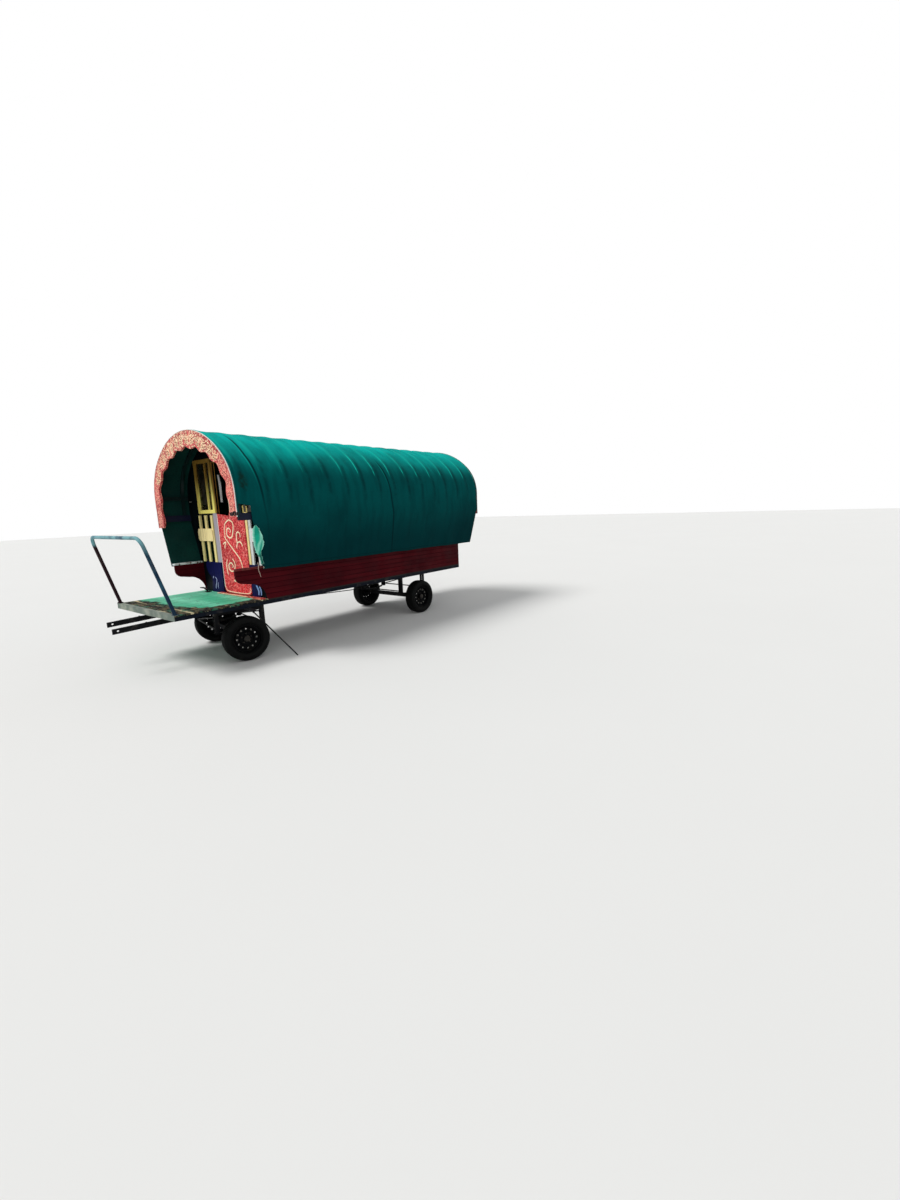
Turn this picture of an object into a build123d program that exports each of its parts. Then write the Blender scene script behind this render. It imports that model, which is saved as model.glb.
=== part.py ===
from build123d import *
import math
import os

# A barrel-topped living wagon on four car wheels, in millimetres.
# X is across the wagon, Y runs from its front (low) to its back (high), Z is up.
# The origin lies on the ground, under the middle of the wagon's length and width.

# Wheels and running gear
front_axle_y = -1482.0
wheelbase = 3000.0
tyre_radius = 270.0
tyre_width = 165.0
tyre_bead_radius = 168.0
tyre_bead_half = 50.0
rim_flange = 9.0
tyre_inner_x = 560.0
rim_plate = 6.0
hub_radius = 38.0
stub_radius = 20.0
running_gap = 0.3
vent_hole_radius = 7.0
vent_ring_radius = 116.0
vent_holes = 12
rim_well = 22.0
disc_inner_radius = 78.0
disc_crest_radius = 128.0
disc_foot_radius = 100.0
tyre_shoulder = 22.0
tyre_crown_drop = 6.0
parked_steer_deg = -12.5

# Deck and chassis
deck_half_width = 765.0
deck_top_z = 715.0
deck_board = 15.0
rail_depth = 45.0
rail_width = 30.0
rail_wall = 5.0
platform_length = 1105.0
wall_behind_axle = 125.0
body_length = 3845.0
inner_rail_x = 480.0
runner_depth = 20.0
runner_width = 60.0
edge_plate = 6.0
edge_lip = 40.0
edge_lip_plate = 4.0

# Boarded lower sides, with their nosed front ends
board_height = 385.0
board_thickness = 22.0
boards_per_side = 6
groove_depth = 4.0
nose_reach = 385.0
nose_face = 70.0
nose_radius = 90.0
cove_radius = 210.0
ledge_thickness = 22.0
ledge_reach = 40.0

# Barrel top: a three-centred arch on upright shoulders
arch_half_width = 985.0
spring_line_z = 1950.0
arch_rise = 770.0
shoulder_radius = 620.0
waist_z = 1670.0
hem_reach = 50.0
hem_z = 1090.0
canvas_thickness = 8.0
soft_gap = 0.5
side_wall_thickness = 22.0
waist_rail_height = 80.0
waist_rail_width = 32.0
bow_depth = 22.0
bow_width = 38.0
bow_count = 16
purlin_width = 45.0
rear_overhang = 280.0
flap_back = 323.0
flap_top_z = 1830.0
flap_step_back = 152.0
flap_knee_z = 1680.0

# Front and rear crowns
crown_thickness = 25.0
crown_proud = 6.0
crown_end_z = 1595.0
crown_near_end_z = 1710.0
crown_side_band = 145.0
crown_top_band = 188.0
crown_inner_shoulder = 420.0
scallop_count = 12
scallop_depth = 36.0

# Front and rear walls
wall_thickness = 22.0
door_left_x = -211.0
door_right_x = 440.0
door_gap = 6.0
door_head_z = 2400.0
hinge_post_width = 60.0
latch_post_width = 90.0
half_door_left_height = 1036.0
half_door_right_height = 970.0
half_door_thickness = 26.0
half_door_corner = 65.0
threshold_height = 12.0
threshold_depth = 60.0
post_strip = 14.0
hinge_pin_radius = 9.0
hinge_length = 80.0
hinge_shares = (0.15, 0.85)
window_low_z = 1762.0
window_high_z = 2450.0
window_inset = 320.0
window_side_gap = 20.0
window_bar = 46.0
window_thickness = 34.0
window_mullion = 20.0
mullion_share = 0.345
picket_width = 52.0
picket_thickness = 17.0
picket_pitch = 158.0
picket_first = 47.0
picket_block_low_z = 1400.0
picket_block_height = 165.0
picket_block_thickness = 18.0
picket_block_corner = 28.0
picket_block_in = 8.0
picket_block_out = 62.0
bay_sill = 30.0
bay_edge = 40.0
bracket_thickness = 20.0
rear_window_width = 620.0
rear_window_low_z = 1500.0
rear_window_height = 480.0

# Handrail at the front of the platform
rail_tube_radius = 19.0
handrail_foot_inset = 30.0
handrail_top_inset = 75.0
handrail_height = 820.0
handrail_rake = 215.0
handrail_bend = 110.0
foot_plate = 8.0
foot_half_x = 29.0
foot_half_y = 25.0

# Springs, axles and turntable
axle_beam = 60.0
axle_beam_half = 545.0
spring_half_length = 270.0
spring_width = 45.0
leaf_thickness = 9.0
leaf_count = 4
spring_camber = 26.0
eye_radius = 17.0
hanger_plate = 6.0
hanger_width = 50.0
ring_radius = 360.0
ring_width = 40.0
ring_thickness = 12.0
leaf_step_share = 0.22
spring_clamp = 12.0
clamp_overlap = 8.0
hanger_skirt = 8.0
truck_depth = 64.0
truck_beam_width = 80.0
king_pin_radius = 16.0
king_head_radius = 30.0
king_head_height = 16.0
truck_cross_bar = 40.0
drawbar_x = 245.0
drawbar_width = 28.0
drawbar_depth = 58.0
drawbar_reach = 1285.0
drawbar_slope = 0.07
drawbar_pin_radius = 11.0
drawbar_pin_inset = 55.0
stay_radius = 9.0

# Brake gear, drag staff and pedal
brake_rod_radius = 7.0
brake_rod_low = 130.0
brake_post = 24.0
staff_radius = 8.0
staff_head_radius = 13.0
staff_head_out = 140.0
staff_head_ahead = 165.0
staff_head_z = 622.0
staff_foot_out = 275.0
staff_foot_behind = 275.0
staff_floor_gap = 6.0
bracket_width = 40.0
pedal_inset = 205.0
pedal_ahead_of_wall = 130.0
pedal_height = 70.0
pedal_half_width = 60.0
pedal_plate = 10.0

# Places worked out from the sizes
wall_y = front_axle_y + wall_behind_axle
platform_front_y = wall_y - platform_length
body_rear_y = wall_y + body_length
nose_y = wall_y - nose_reach
crown_rear_y = body_rear_y + rear_overhang
rear_axle_y = front_axle_y + wheelbase
deck_low_z = deck_top_z - deck_board
frame_low_z = deck_low_z - rail_depth
board_top_z = deck_top_z + board_height
ledge_top_z = board_top_z + ledge_thickness
leaf_low_z = tyre_radius + axle_beam / 2
eye_z = leaf_low_z + leaf_count * leaf_thickness + spring_camber + leaf_thickness / 2
truck_top_z = frame_low_z - 2 * ring_thickness - running_gap
truck_low_z = truck_top_z - truck_depth
rail_top_z = waist_z + waist_rail_height
ledge_half_width = deck_half_width + ledge_reach
hem_half_width = deck_half_width + hem_reach
window_outer_x = arch_half_width - window_inset
staff_head_x = deck_half_width + staff_head_out
staff_foot_x = deck_half_width + staff_foot_out
handrail_foot_x = deck_half_width - handrail_foot_inset
handrail_top_x = deck_half_width - handrail_top_inset
pedal_x = pedal_inset - deck_half_width


def block(x0, x1, y0, y1, z0, z1):
    """A box between two corners."""
    middle = ((x0 + x1) / 2, (y0 + y1) / 2, (z0 + z1) / 2)
    return Pos(*middle) * Box(abs(x1 - x0), abs(y1 - y0), abs(z1 - z0))


def across(edges, y0, y1):
    """A prism along Y from edges drawn with X across and Z up."""
    face = Plane.XZ * make_face(Curve() + edges)
    return Pos(0, y0, 0) * extrude(face, amount=y1 - y0, dir=(0, 1, 0))


def along(edges, x0, x1):
    """A prism along X from edges drawn with Y across and Z up."""
    face = Plane.YZ * make_face(Curve() + edges)
    return Pos(x0, 0, 0) * extrude(face, amount=x1 - x0, dir=(1, 0, 0))


def rod(start, end, radius):
    """A round bar between two points."""
    axis = Vector(*end) - Vector(*start)
    plane = Plane(origin=start, z_dir=axis)
    return plane * Cylinder(radius, axis.length, align=(Align.CENTER, Align.CENTER, Align.MIN))


def both_sides(shape):
    """The shape and its mirror image across the middle plane."""
    return Compound(children=[shape, mirror(shape, about=Plane.YZ)])


def solids_of(*shapes):
    """One compound of all the solids in the shapes."""
    found = []
    for shape in shapes:
        found.extend(shape.solids())
    return Compound(children=found)


def canvas_x(z):
    """Half width of the cover's outer face at a height below the waist."""
    share = (z - hem_z) / (waist_z - hem_z)
    return hem_half_width + (arch_half_width - hem_half_width) * share


def arch_top(half, rise, shoulder, inset, low_z):
    """Edges over the barrel top, from low_z on one side to low_z on the other."""
    centre_x = half - shoulder
    crown_radius = (rise**2 + centre_x**2 - shoulder**2) / (2 * (rise - shoulder))
    crown_z = spring_line_z + rise - crown_radius
    lean = math.atan2(spring_line_z - crown_z, centre_x)
    small = shoulder - inset
    side = half - inset
    join_x = centre_x + small * math.cos(lean)
    join_z = spring_line_z + small * math.sin(lean)
    bend_x = centre_x + small * math.cos(lean / 2)
    bend_z = spring_line_z + small * math.sin(lean / 2)
    top_z = spring_line_z + rise - inset
    return [
        Line((side, low_z), (side, spring_line_z)),
        ThreePointArc((side, spring_line_z), (bend_x, bend_z), (join_x, join_z)),
        ThreePointArc((join_x, join_z), (0, top_z), (-join_x, join_z)),
        ThreePointArc((-join_x, join_z), (-bend_x, bend_z), (-side, spring_line_z)),
        Line((-side, spring_line_z), (-side, low_z)),
    ]


def barrel(inset, low_z):
    """Edges of the barrel top set in from the cover's outer face."""
    return arch_top(arch_half_width, arch_rise, shoulder_radius, inset, low_z)


def wall_sheet(inset, low_z, y0, y1):
    """A full cross wall of the body from low_z up, inside the given inset."""
    if low_z >= waist_z:
        side = arch_half_width - inset
        edges = barrel(inset, low_z) + [Line((-side, low_z), (side, low_z))]
        return across(edges, y0, y1)
    side = arch_half_width - inset
    foot = canvas_x(low_z) - inset
    edges = barrel(inset, waist_z)
    edges += [
        Line((-side, waist_z), (-foot, low_z)),
        Line((-foot, low_z), (foot, low_z)),
        Line((foot, low_z), (side, waist_z)),
    ]
    return across(edges, y0, y1)


def cross_places():
    """Where the chassis cross-members lie along the wagon."""
    ring_reach = ring_radius - ring_width / 2
    return [
        platform_front_y + edge_plate + rail_width / 2,
        front_axle_y - ring_reach,
        front_axle_y,
        front_axle_y + ring_reach,
        front_axle_y + wheelbase / 3,
        front_axle_y + 2 * wheelbase / 3,
        rear_axle_y - spring_half_length,
        rear_axle_y + spring_half_length,
        body_rear_y - rail_width / 2,
    ]


def chassis_side_rails():
    """Channel rails down both sides, open inwards."""
    outer = deck_half_width
    y0 = platform_front_y + edge_plate
    rail = block(outer - rail_width, outer, y0, body_rear_y, frame_low_z, deck_low_z)
    rail -= block(
        outer - rail_width,
        outer - rail_wall,
        y0,
        body_rear_y,
        frame_low_z + rail_wall,
        deck_low_z - rail_wall,
    )
    return both_sides(rail)


def chassis_cross_members():
    """Bars across the wagon, from web to web of the side rails."""
    reach = deck_half_width - rail_wall
    low = frame_low_z + runner_depth
    high = deck_low_z - rail_wall
    bars = []
    for y in cross_places():
        bar = block(-reach, reach, y - rail_width / 2, y + rail_width / 2, low, high)
        flange = deck_half_width - rail_width
        bar += block(-flange, flange, y - rail_width / 2, y + rail_width / 2, high, deck_low_z)
        bars.append(bar)
    return solids_of(*bars)


def chassis_runners():
    """Flat runners under the cross-members, which carry the springs' hangers."""
    runner = block(
        inner_rail_x - runner_width / 2,
        inner_rail_x + runner_width / 2,
        platform_front_y + edge_plate,
        body_rear_y,
        frame_low_z,
        frame_low_z + runner_depth,
    )
    return both_sides(runner)


def front_edge():
    """Angle plate across the front of the platform."""
    plate = block(
        -deck_half_width,
        deck_half_width,
        platform_front_y,
        platform_front_y + edge_plate,
        frame_low_z,
        deck_top_z + edge_lip_plate,
    )
    lip = block(
        -deck_half_width,
        deck_half_width,
        platform_front_y,
        platform_front_y + edge_plate + edge_lip,
        deck_top_z,
        deck_top_z + edge_lip_plate,
    )
    return plate + lip


def floor_board(y0, y1):
    """A stretch of the plywood deck."""
    return block(-deck_half_width, deck_half_width, y0, y1, deck_low_z, deck_top_z)


def handrail():
    """Raked tube hoop on two foot plates at the platform's front corners."""
    foot_y = platform_front_y + edge_plate + edge_lip / 2
    top = deck_top_z + edge_lip_plate + handrail_height
    low = deck_top_z + edge_lip_plate + foot_plate
    lean = handrail_rake / handrail_height
    spread = (handrail_foot_x - handrail_top_x) / handrail_height
    drop = 2 * rail_tube_radius
    points = [
        (handrail_foot_x + spread * drop, foot_y + lean * drop, low - drop),
        (handrail_top_x, foot_y - handrail_rake, top),
        (-handrail_top_x, foot_y - handrail_rake, top),
        (-handrail_foot_x - spread * drop, foot_y + lean * drop, low - drop),
    ]
    path = FilletPolyline(*points, radius=handrail_bend)
    profile = Plane(origin=path @ 0, z_dir=path % 0) * Circle(rail_tube_radius)
    tube = sweep(profile, path=path)
    below = block(
        -deck_half_width,
        deck_half_width,
        foot_y - handrail_rake,
        foot_y + handrail_rake,
        low - 3 * drop,
        low,
    )
    tube -= below
    plate = block(
        handrail_foot_x - foot_half_x,
        handrail_foot_x + foot_half_x,
        foot_y - foot_half_y,
        foot_y + foot_half_y,
        low - foot_plate,
        low,
    )
    return tube + plate + mirror(plate, about=Plane.YZ)


def side_boards(side):
    """Grooved boards of one lower side, with the nosed front end."""
    nose_low_z = board_top_z - nose_face - nose_radius
    cove_y = wall_y - cove_radius
    cove_top_z = deck_top_z + cove_radius
    bend = math.sqrt(0.5)
    edges = [
        Line((nose_y, board_top_z), (nose_y, board_top_z - nose_face)),
        ThreePointArc(
            (nose_y, board_top_z - nose_face),
            (nose_y + nose_radius * (1 - bend), board_top_z - nose_face - nose_radius * bend),
            (nose_y + nose_radius, nose_low_z),
        ),
        Line((nose_y + nose_radius, nose_low_z), (cove_y, cove_top_z)),
        ThreePointArc(
            (cove_y, cove_top_z),
            (cove_y + cove_radius * bend, deck_top_z + cove_radius * bend),
            (wall_y, deck_top_z),
        ),
        Line((wall_y, deck_top_z), (body_rear_y, deck_top_z)),
        Line((body_rear_y, deck_top_z), (body_rear_y, board_top_z)),
        Line((body_rear_y, board_top_z), (nose_y, board_top_z)),
    ]
    inner = deck_half_width - board_thickness
    boards = along(edges, inner, deck_half_width)
    pitch = board_height / boards_per_side
    for row in range(1, boards_per_side):
        z = deck_top_z + row * pitch
        groove = [
            Line((deck_half_width + 1, z + groove_depth + 1), (deck_half_width - groove_depth, z)),
            Line((deck_half_width - groove_depth, z), (deck_half_width + 1, z - groove_depth - 1)),
            Line(
                (deck_half_width + 1, z - groove_depth - 1),
                (deck_half_width + 1, z + groove_depth + 1),
            ),
        ]
        boards -= across(groove, nose_y - 1, body_rear_y + 1)
    return boards if side > 0 else mirror(boards, about=Plane.YZ)


def rear_boards():
    """Lower boards across the back, between the two sides."""
    half = deck_half_width - board_thickness
    return block(
        -half, half, body_rear_y - board_thickness, body_rear_y, deck_top_z, ledge_top_z
    )


def ledges():
    """Capping ledge on the top of each side."""
    ledge = block(
        deck_half_width - board_thickness,
        ledge_half_width,
        nose_y,
        body_rear_y,
        board_top_z,
        ledge_top_z,
    )
    return both_sides(ledge)


def side_wall(side):
    """Boarded wall that leans out from the ledge to the waist."""
    outset = canvas_thickness + soft_gap
    low = canvas_x(ledge_top_z) - outset
    high = arch_half_width - outset
    edges = [
        Line((low - side_wall_thickness, ledge_top_z), (low, ledge_top_z)),
        Line((low, ledge_top_z), (high, waist_z)),
        Line((high, waist_z), (high - side_wall_thickness, waist_z)),
        Line((high - side_wall_thickness, waist_z), (low - side_wall_thickness, ledge_top_z)),
    ]
    wall = across(edges, wall_y + wall_thickness, body_rear_y - wall_thickness)
    return wall if side > 0 else mirror(wall, about=Plane.YZ)


def waist_rails():
    """Rail along the top of each side wall, out to both crowns."""
    high = arch_half_width - canvas_thickness - soft_gap
    rail = block(high - waist_rail_width, high, nose_y, crown_rear_y, waist_z, rail_top_z)
    return both_sides(rail)


def roof_frame():
    """Bent bows standing on the waist rails, tied by purlins."""
    inset = canvas_thickness + soft_gap
    low = arch_half_width - inset
    thick_low = low - bow_depth
    edges = barrel(inset, rail_top_z) + barrel(inset + bow_depth, rail_top_z)
    edges += [
        Line((low, rail_top_z), (thick_low, rail_top_z)),
        Line((-low, rail_top_z), (-thick_low, rail_top_z)),
    ]
    first = nose_y
    last = crown_rear_y - bow_width
    step = (last - first) / (bow_count - 1)
    frame = across(edges, first, first + bow_width)
    for number in range(1, bow_count):
        y = first + number * step
        frame += across(edges, y, y + bow_width)
    hoop = across(edges, nose_y, crown_rear_y)
    high = spring_line_z + arch_rise + 1
    ridge = block(-purlin_width / 2, purlin_width / 2, nose_y, crown_rear_y, rail_top_z, high)
    half = arch_half_width + 1
    eaves = block(
        -half, half, nose_y, crown_rear_y, spring_line_z, spring_line_z + purlin_width
    )
    frame += hoop & (ridge + eaves)
    return frame


def canvas_cover():
    """The green cover, from hem to hem over the bows, with its front corner folded back."""
    inner = canvas_thickness
    outer_edges = barrel(0, waist_z)
    inner_edges = barrel(inner, waist_z)
    edges = outer_edges + inner_edges
    for sign in (1, -1):
        edges += [
            Line((sign * arch_half_width, waist_z), (sign * hem_half_width, hem_z)),
            Line((sign * hem_half_width, hem_z), (sign * (hem_half_width - inner), hem_z)),
            Line(
                (sign * (hem_half_width - inner), hem_z),
                (sign * (arch_half_width - inner), waist_z),
            ),
        ]
    cover = across(edges, nose_y, crown_rear_y)
    step_y = nose_y + flap_step_back
    fold = Polyline(
        (nose_y - 1, hem_z - 1),
        (nose_y - 1, flap_top_z),
        (step_y, flap_top_z),
        (step_y, flap_knee_z),
        (nose_y + flap_back, hem_z - 1),
        close=True,
    ).edges()
    return cover - along(fold, hem_half_width / 2, arch_half_width + 1)


def crown(y0, near_end_z):
    """Arched end board with a scalloped inner edge; its +X leg ends at near_end_z."""
    half_in = arch_half_width - crown_side_band
    rise_in = arch_rise - crown_top_band
    path = Wire(arch_top(half_in, rise_in, crown_inner_shoulder, 0, crown_end_z))
    steps = 2 * scallop_count
    wave = []
    for number in range(steps + 1):
        distance = path.length * number / steps
        place = path.position_at(distance, PositionMode.LENGTH)
        heading = path.tangent_at(distance, PositionMode.LENGTH)
        inward = scallop_depth / 2 if number % 2 else -scallop_depth / 2
        wave.append((place.X - inward * heading.Y, place.Y + inward * heading.X))
    wide = arch_half_width + crown_proud
    edges = barrel(-crown_proud, crown_end_z)
    edges += [
        Line((wide, crown_end_z), wave[0]),
        Spline(*wave),
        Line(wave[-1], (-wide, crown_end_z)),
    ]
    board = across(edges, y0, y0 + crown_thickness)
    y1 = y0 + crown_thickness
    return board - block(0, wide + 1, y0 - 1, y1 + 1, crown_end_z - 1, near_end_z)


def doorway_edge(side):
    """Distance of the doorway's edge from the middle, and the width of the post there."""
    if side > 0:
        return door_right_x, hinge_post_width
    return -door_left_x, latch_post_width


def window_space(side, shrink, y0, y1):
    """Space of a front window beside the door, drawn in from its outline."""
    door_x, _ = doorway_edge(side)
    inner = side * (door_x + window_side_gap + shrink)
    outer = side * (window_outer_x - shrink)
    x0, x1 = sorted((inner, outer))
    return block(x0, x1, y0, y1, window_low_z + shrink, window_high_z - shrink)


def picket_bay(side):
    """X limits of the open bay beside the door, inner then outer."""
    door_x, post = doorway_edge(side)
    return door_x + post, canvas_x(ledge_top_z) - bay_edge


def front_wall():
    """Cross wall of the porch, cut for the doorway, the windows and the picket bays."""
    inset = canvas_thickness + soft_gap
    y0, y1 = wall_y, wall_y + wall_thickness
    wall = wall_sheet(inset + bow_depth + running_gap, ledge_top_z, y0, y1)
    for side in (1, -1):
        door_x, _ = doorway_edge(side)
        wall -= window_space(side, 0, y0 - 1, y1 + 1)
        bay_in, bay_out = picket_bay(side)
        bay = sorted((side * bay_in, side * bay_out))
        top = window_low_z - window_bar
        wall -= block(bay[0], bay[1], y0 - 1, y1 + 1, ledge_top_z + bay_sill, top)
        low_out = deck_half_width - board_thickness
        skirt = sorted((side * door_x, side * low_out))
        wall += block(skirt[0], skirt[1], y0, y1, deck_top_z, ledge_top_z)
    wall -= block(door_left_x, door_right_x, y0 - 1, y1 + 1, deck_top_z - 1, door_head_z)
    return wall - waist_rails()


def front_windows():
    """Glazing frames beside the door; the wide one has an upright bar."""
    frames = []
    y0 = wall_y - window_thickness / 2
    y1 = wall_y + wall_thickness + 4
    for side in (1, -1):
        frame = window_space(side, running_gap, y0, y1)
        frame -= window_space(side, window_bar, y0 - 1, y1 + 1)
        door_x, _ = doorway_edge(side)
        inner = door_x + window_side_gap
        width = window_outer_x - inner
        if width > 4 * (window_bar + window_mullion):
            x = side * (inner + width * mullion_share)
            half = window_mullion / 2
            low = window_low_z + window_bar / 2
            high = window_high_z - window_bar / 2
            frame += block(x - half, x + half, y0, y1, low, high)
        frames.append(frame)
    return solids_of(*frames)


def pickets():
    """Upright slats under each window, with a shaped block across them."""
    sets = []
    y0 = wall_y - picket_thickness
    y1 = wall_y
    low = ledge_top_z
    high = window_low_z - window_bar / 2
    half = picket_width / 2
    for side in (1, -1):
        bay_in, bay_out = picket_bay(side)
        count = round((bay_out - bay_in) / picket_pitch)
        first = bay_in + picket_first
        last = first + (count - 1) * picket_pitch
        group = None
        for number in range(count):
            x = side * (first + number * picket_pitch)
            slat = block(x - half, x + half, y0, y1, low, high)
            group = slat if group is None else group + slat
        span = sorted((side * (first - picket_block_in), side * (last + picket_block_out)))
        shaped = block(
            span[0],
            span[1],
            y0 - picket_block_thickness * 2 / 3,
            y0 + picket_block_thickness / 3,
            picket_block_low_z,
            picket_block_low_z + picket_block_height,
        )
        group += chamfer(shaped.edges().filter_by(Axis.Y), picket_block_corner)
        sets.append(group)
    return solids_of(*sets)


def ogee_brackets():
    """Curved brackets under the ledge on each side of the doorway."""
    parts = []
    # Share of the bracket's width, and share of its drop below the ledge
    curve = [(0.74, 0.0), (0.77, 0.2), (0.7, 0.38), (0.57, 0.52), (0.56, 0.72), (0.59, 1.0)]
    height = ledge_top_z - deck_top_z
    for side in (1, -1):
        door_x, _ = doorway_edge(side)
        inner = door_x + 2 * hinge_pin_radius
        width = deck_half_width - board_thickness - inner
        points = [(side * (inner + out * width), ledge_top_z - drop * height) for out, drop in curve]
        edges = [
            Line((side * inner, deck_top_z), (side * inner, ledge_top_z)),
            Line((side * inner, ledge_top_z), points[0]),
            Spline(*points),
            Line(points[-1], (side * inner, deck_top_z)),
        ]
        parts.append(across(edges, wall_y - bracket_thickness, wall_y))
    return solids_of(*parts)


def rear_wall():
    """Cross wall at the back, from the boards to the top, with a window opening."""
    inset = canvas_thickness + soft_gap + bow_depth + running_gap
    y1 = body_rear_y
    y0 = y1 - wall_thickness
    wall = wall_sheet(inset, ledge_top_z, y0, y1)
    half = rear_window_width / 2
    high = rear_window_low_z + rear_window_height
    wall -= block(-half, half, y0 - 1, y1 + 1, rear_window_low_z, high)
    return wall - waist_rails()


def rear_window():
    """Frame with a cross of glazing bars for the rear window."""
    half = rear_window_width / 2 - running_gap
    low = rear_window_low_z + running_gap
    high = rear_window_low_z + rear_window_height - running_gap
    y0 = body_rear_y - wall_thickness - 4
    y1 = body_rear_y + window_thickness / 2
    frame = block(-half, half, y0, y1, low, high)
    pane_half = (half - window_bar * 1.3) / 2
    pane_height = (high - low - window_bar * 2.6) / 2
    for sx in (1, -1):
        for row in (0, 1):
            x = sx * (window_bar * 0.3 + pane_half)
            z0 = low + window_bar + row * (pane_height + window_bar * 0.6)
            frame -= block(x - pane_half, x + pane_half, y0 - 1, y1 + 1, z0, z0 + pane_height)
    return frame


def half_door():
    """Lower door leaf, with a hinge barrel down its right edge."""
    left = door_left_x + door_gap
    right = door_right_x - door_gap
    low = deck_top_z + threshold_height + door_gap
    high_left = deck_top_z + half_door_left_height
    high_right = deck_top_z + half_door_right_height
    edges = [
        Line((left, low), (right, low)),
        Line((right, low), (right, high_right)),
        Line((right, high_right), (left, high_left)),
        Line((left, high_left), (left, low)),
    ]
    half = half_door_thickness / 2
    leaf = across(edges, wall_y - half, wall_y + half)
    leaf = fillet(leaf.edges().filter_by(Axis.Y).group_by(Axis.Z)[0], half_door_corner)
    pin_y = wall_y - hinge_pin_radius - running_gap
    for share in hinge_shares:
        z = low + share * (high_right - low)
        leaf += Pos(door_right_x, pin_y, z) * Cylinder(hinge_pin_radius, hinge_length)
    return leaf


def threshold():
    """Board along the foot of the doorway, in front of the brackets."""
    y1 = wall_y - bracket_thickness
    return block(
        door_left_x - latch_post_width,
        deck_half_width - board_thickness,
        y1 - threshold_depth,
        y1,
        deck_top_z,
        deck_top_z + threshold_height,
    )


def door_posts():
    """Cover strips up both sides of the doorway, from the brackets to the windows."""
    strips = []
    for side, lap in ((1, 2 * hinge_pin_radius), (-1, 0)):
        door_x, post = doorway_edge(side)
        x0, x1 = sorted((side * (door_x + lap), side * (door_x + post - running_gap)))
        strips.append(block(x0, x1, wall_y - post_strip, wall_y, ledge_top_z, window_low_z))
    return solids_of(*strips)


def tyre(centre):
    """Road tyre around its rim, drawn about its own axle line."""
    w = tyre_width / 2
    r = tyre_radius
    bead = tyre_bead_radius
    seat = tyre_bead_half
    lip = bead + rim_flange + 10 * running_gap
    side = w - tyre_crown_drop
    tread = w - tyre_shoulder
    bulge = (bead + r) / 2 - tyre_crown_drop
    edges = [
        Line((-seat, lip), (-seat, bead)),
        Line((-seat, bead), (seat, bead)),
        Line((seat, bead), (seat, lip)),
        ThreePointArc((seat, lip), (w, bulge), (side, r - tyre_shoulder)),
        Line((side, r - tyre_shoulder), (tread, r - tyre_crown_drop)),
        Line((tread, r - tyre_crown_drop), (tread / 2, r)),
        Line((tread / 2, r), (-tread / 2, r)),
        Line((-tread / 2, r), (-tread, r - tyre_crown_drop)),
        Line((-tread, r - tyre_crown_drop), (-side, r - tyre_shoulder)),
        ThreePointArc((-side, r - tyre_shoulder), (-w, bulge), (-seat, lip)),
    ]
    face = make_face(Curve() + edges)
    return centre * revolve(face, axis=Axis.X)


def rim(centre, outward):
    """Pressed steel rim, dished disc with vent holes, and hub with its running bore."""
    w = tyre_bead_half + running_gap
    bead = tyre_bead_radius - running_gap
    well = bead - rim_well
    flange = bead + rim_flange
    wall = rim_plate
    # Place across the rim as a share of its half width, and radius, from the middle out
    outside = [(0.35, well), (0.45, bead), (1.0, bead), (1.0, flange)]
    inside = [(0.4, bead - wall), (0.3, well - wall)]
    right = [(share * w, radius) for share, radius in outside]
    right += [(w + wall, flange), (w + wall, bead - wall)]
    right += [(share * w, radius) for share, radius in inside]
    left = [(-across_rim, radius) for across_rim, radius in reversed(right)]
    barrel_ring = revolve(make_face(Polyline(*right, *left, right[0])), axis=Axis.X)

    # Place of the disc's outer face as a share of the half width, and its radius
    face_points = [
        (0.30, well - wall / 2),
        (0.62, disc_crest_radius),
        (0.62, disc_foot_radius),
        (0.20, disc_inner_radius),
        (0.20, hub_radius),
    ]
    front = [(outward * share * w, radius) for share, radius in face_points]
    back = [(place - outward * wall, radius) for place, radius in reversed(front)]
    bore = stub_radius + running_gap
    nose = outward * w * 0.85
    tail = -outward * w * 0.60
    hub = [(nose, hub_radius), (nose, bore), (tail, bore), (tail, hub_radius)]
    disc = revolve(make_face(Polyline(*front, *hub, *back, front[0])), axis=Axis.X)
    holes = None
    for number in range(vent_holes):
        turn = Rot(360.0 * number / vent_holes, 0, 0)
        drill = Rot(0, 90, 0) * Cylinder(vent_hole_radius, tyre_width)
        hole = turn * Pos(0, 0, vent_ring_radius) * drill
        holes = hole if holes is None else holes + hole
    return centre * (barrel_ring + (disc - holes))


def axle(centre):
    """Square beam axle with a round stub at each end."""
    beam = Box(2 * axle_beam_half, axle_beam, axle_beam)
    reach = tyre_inner_x + tyre_width / 2 + tyre_bead_half * 0.8
    stub = Rot(0, 90, 0) * Cylinder(stub_radius, 2 * reach)
    return centre * (beam + stub)


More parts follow.
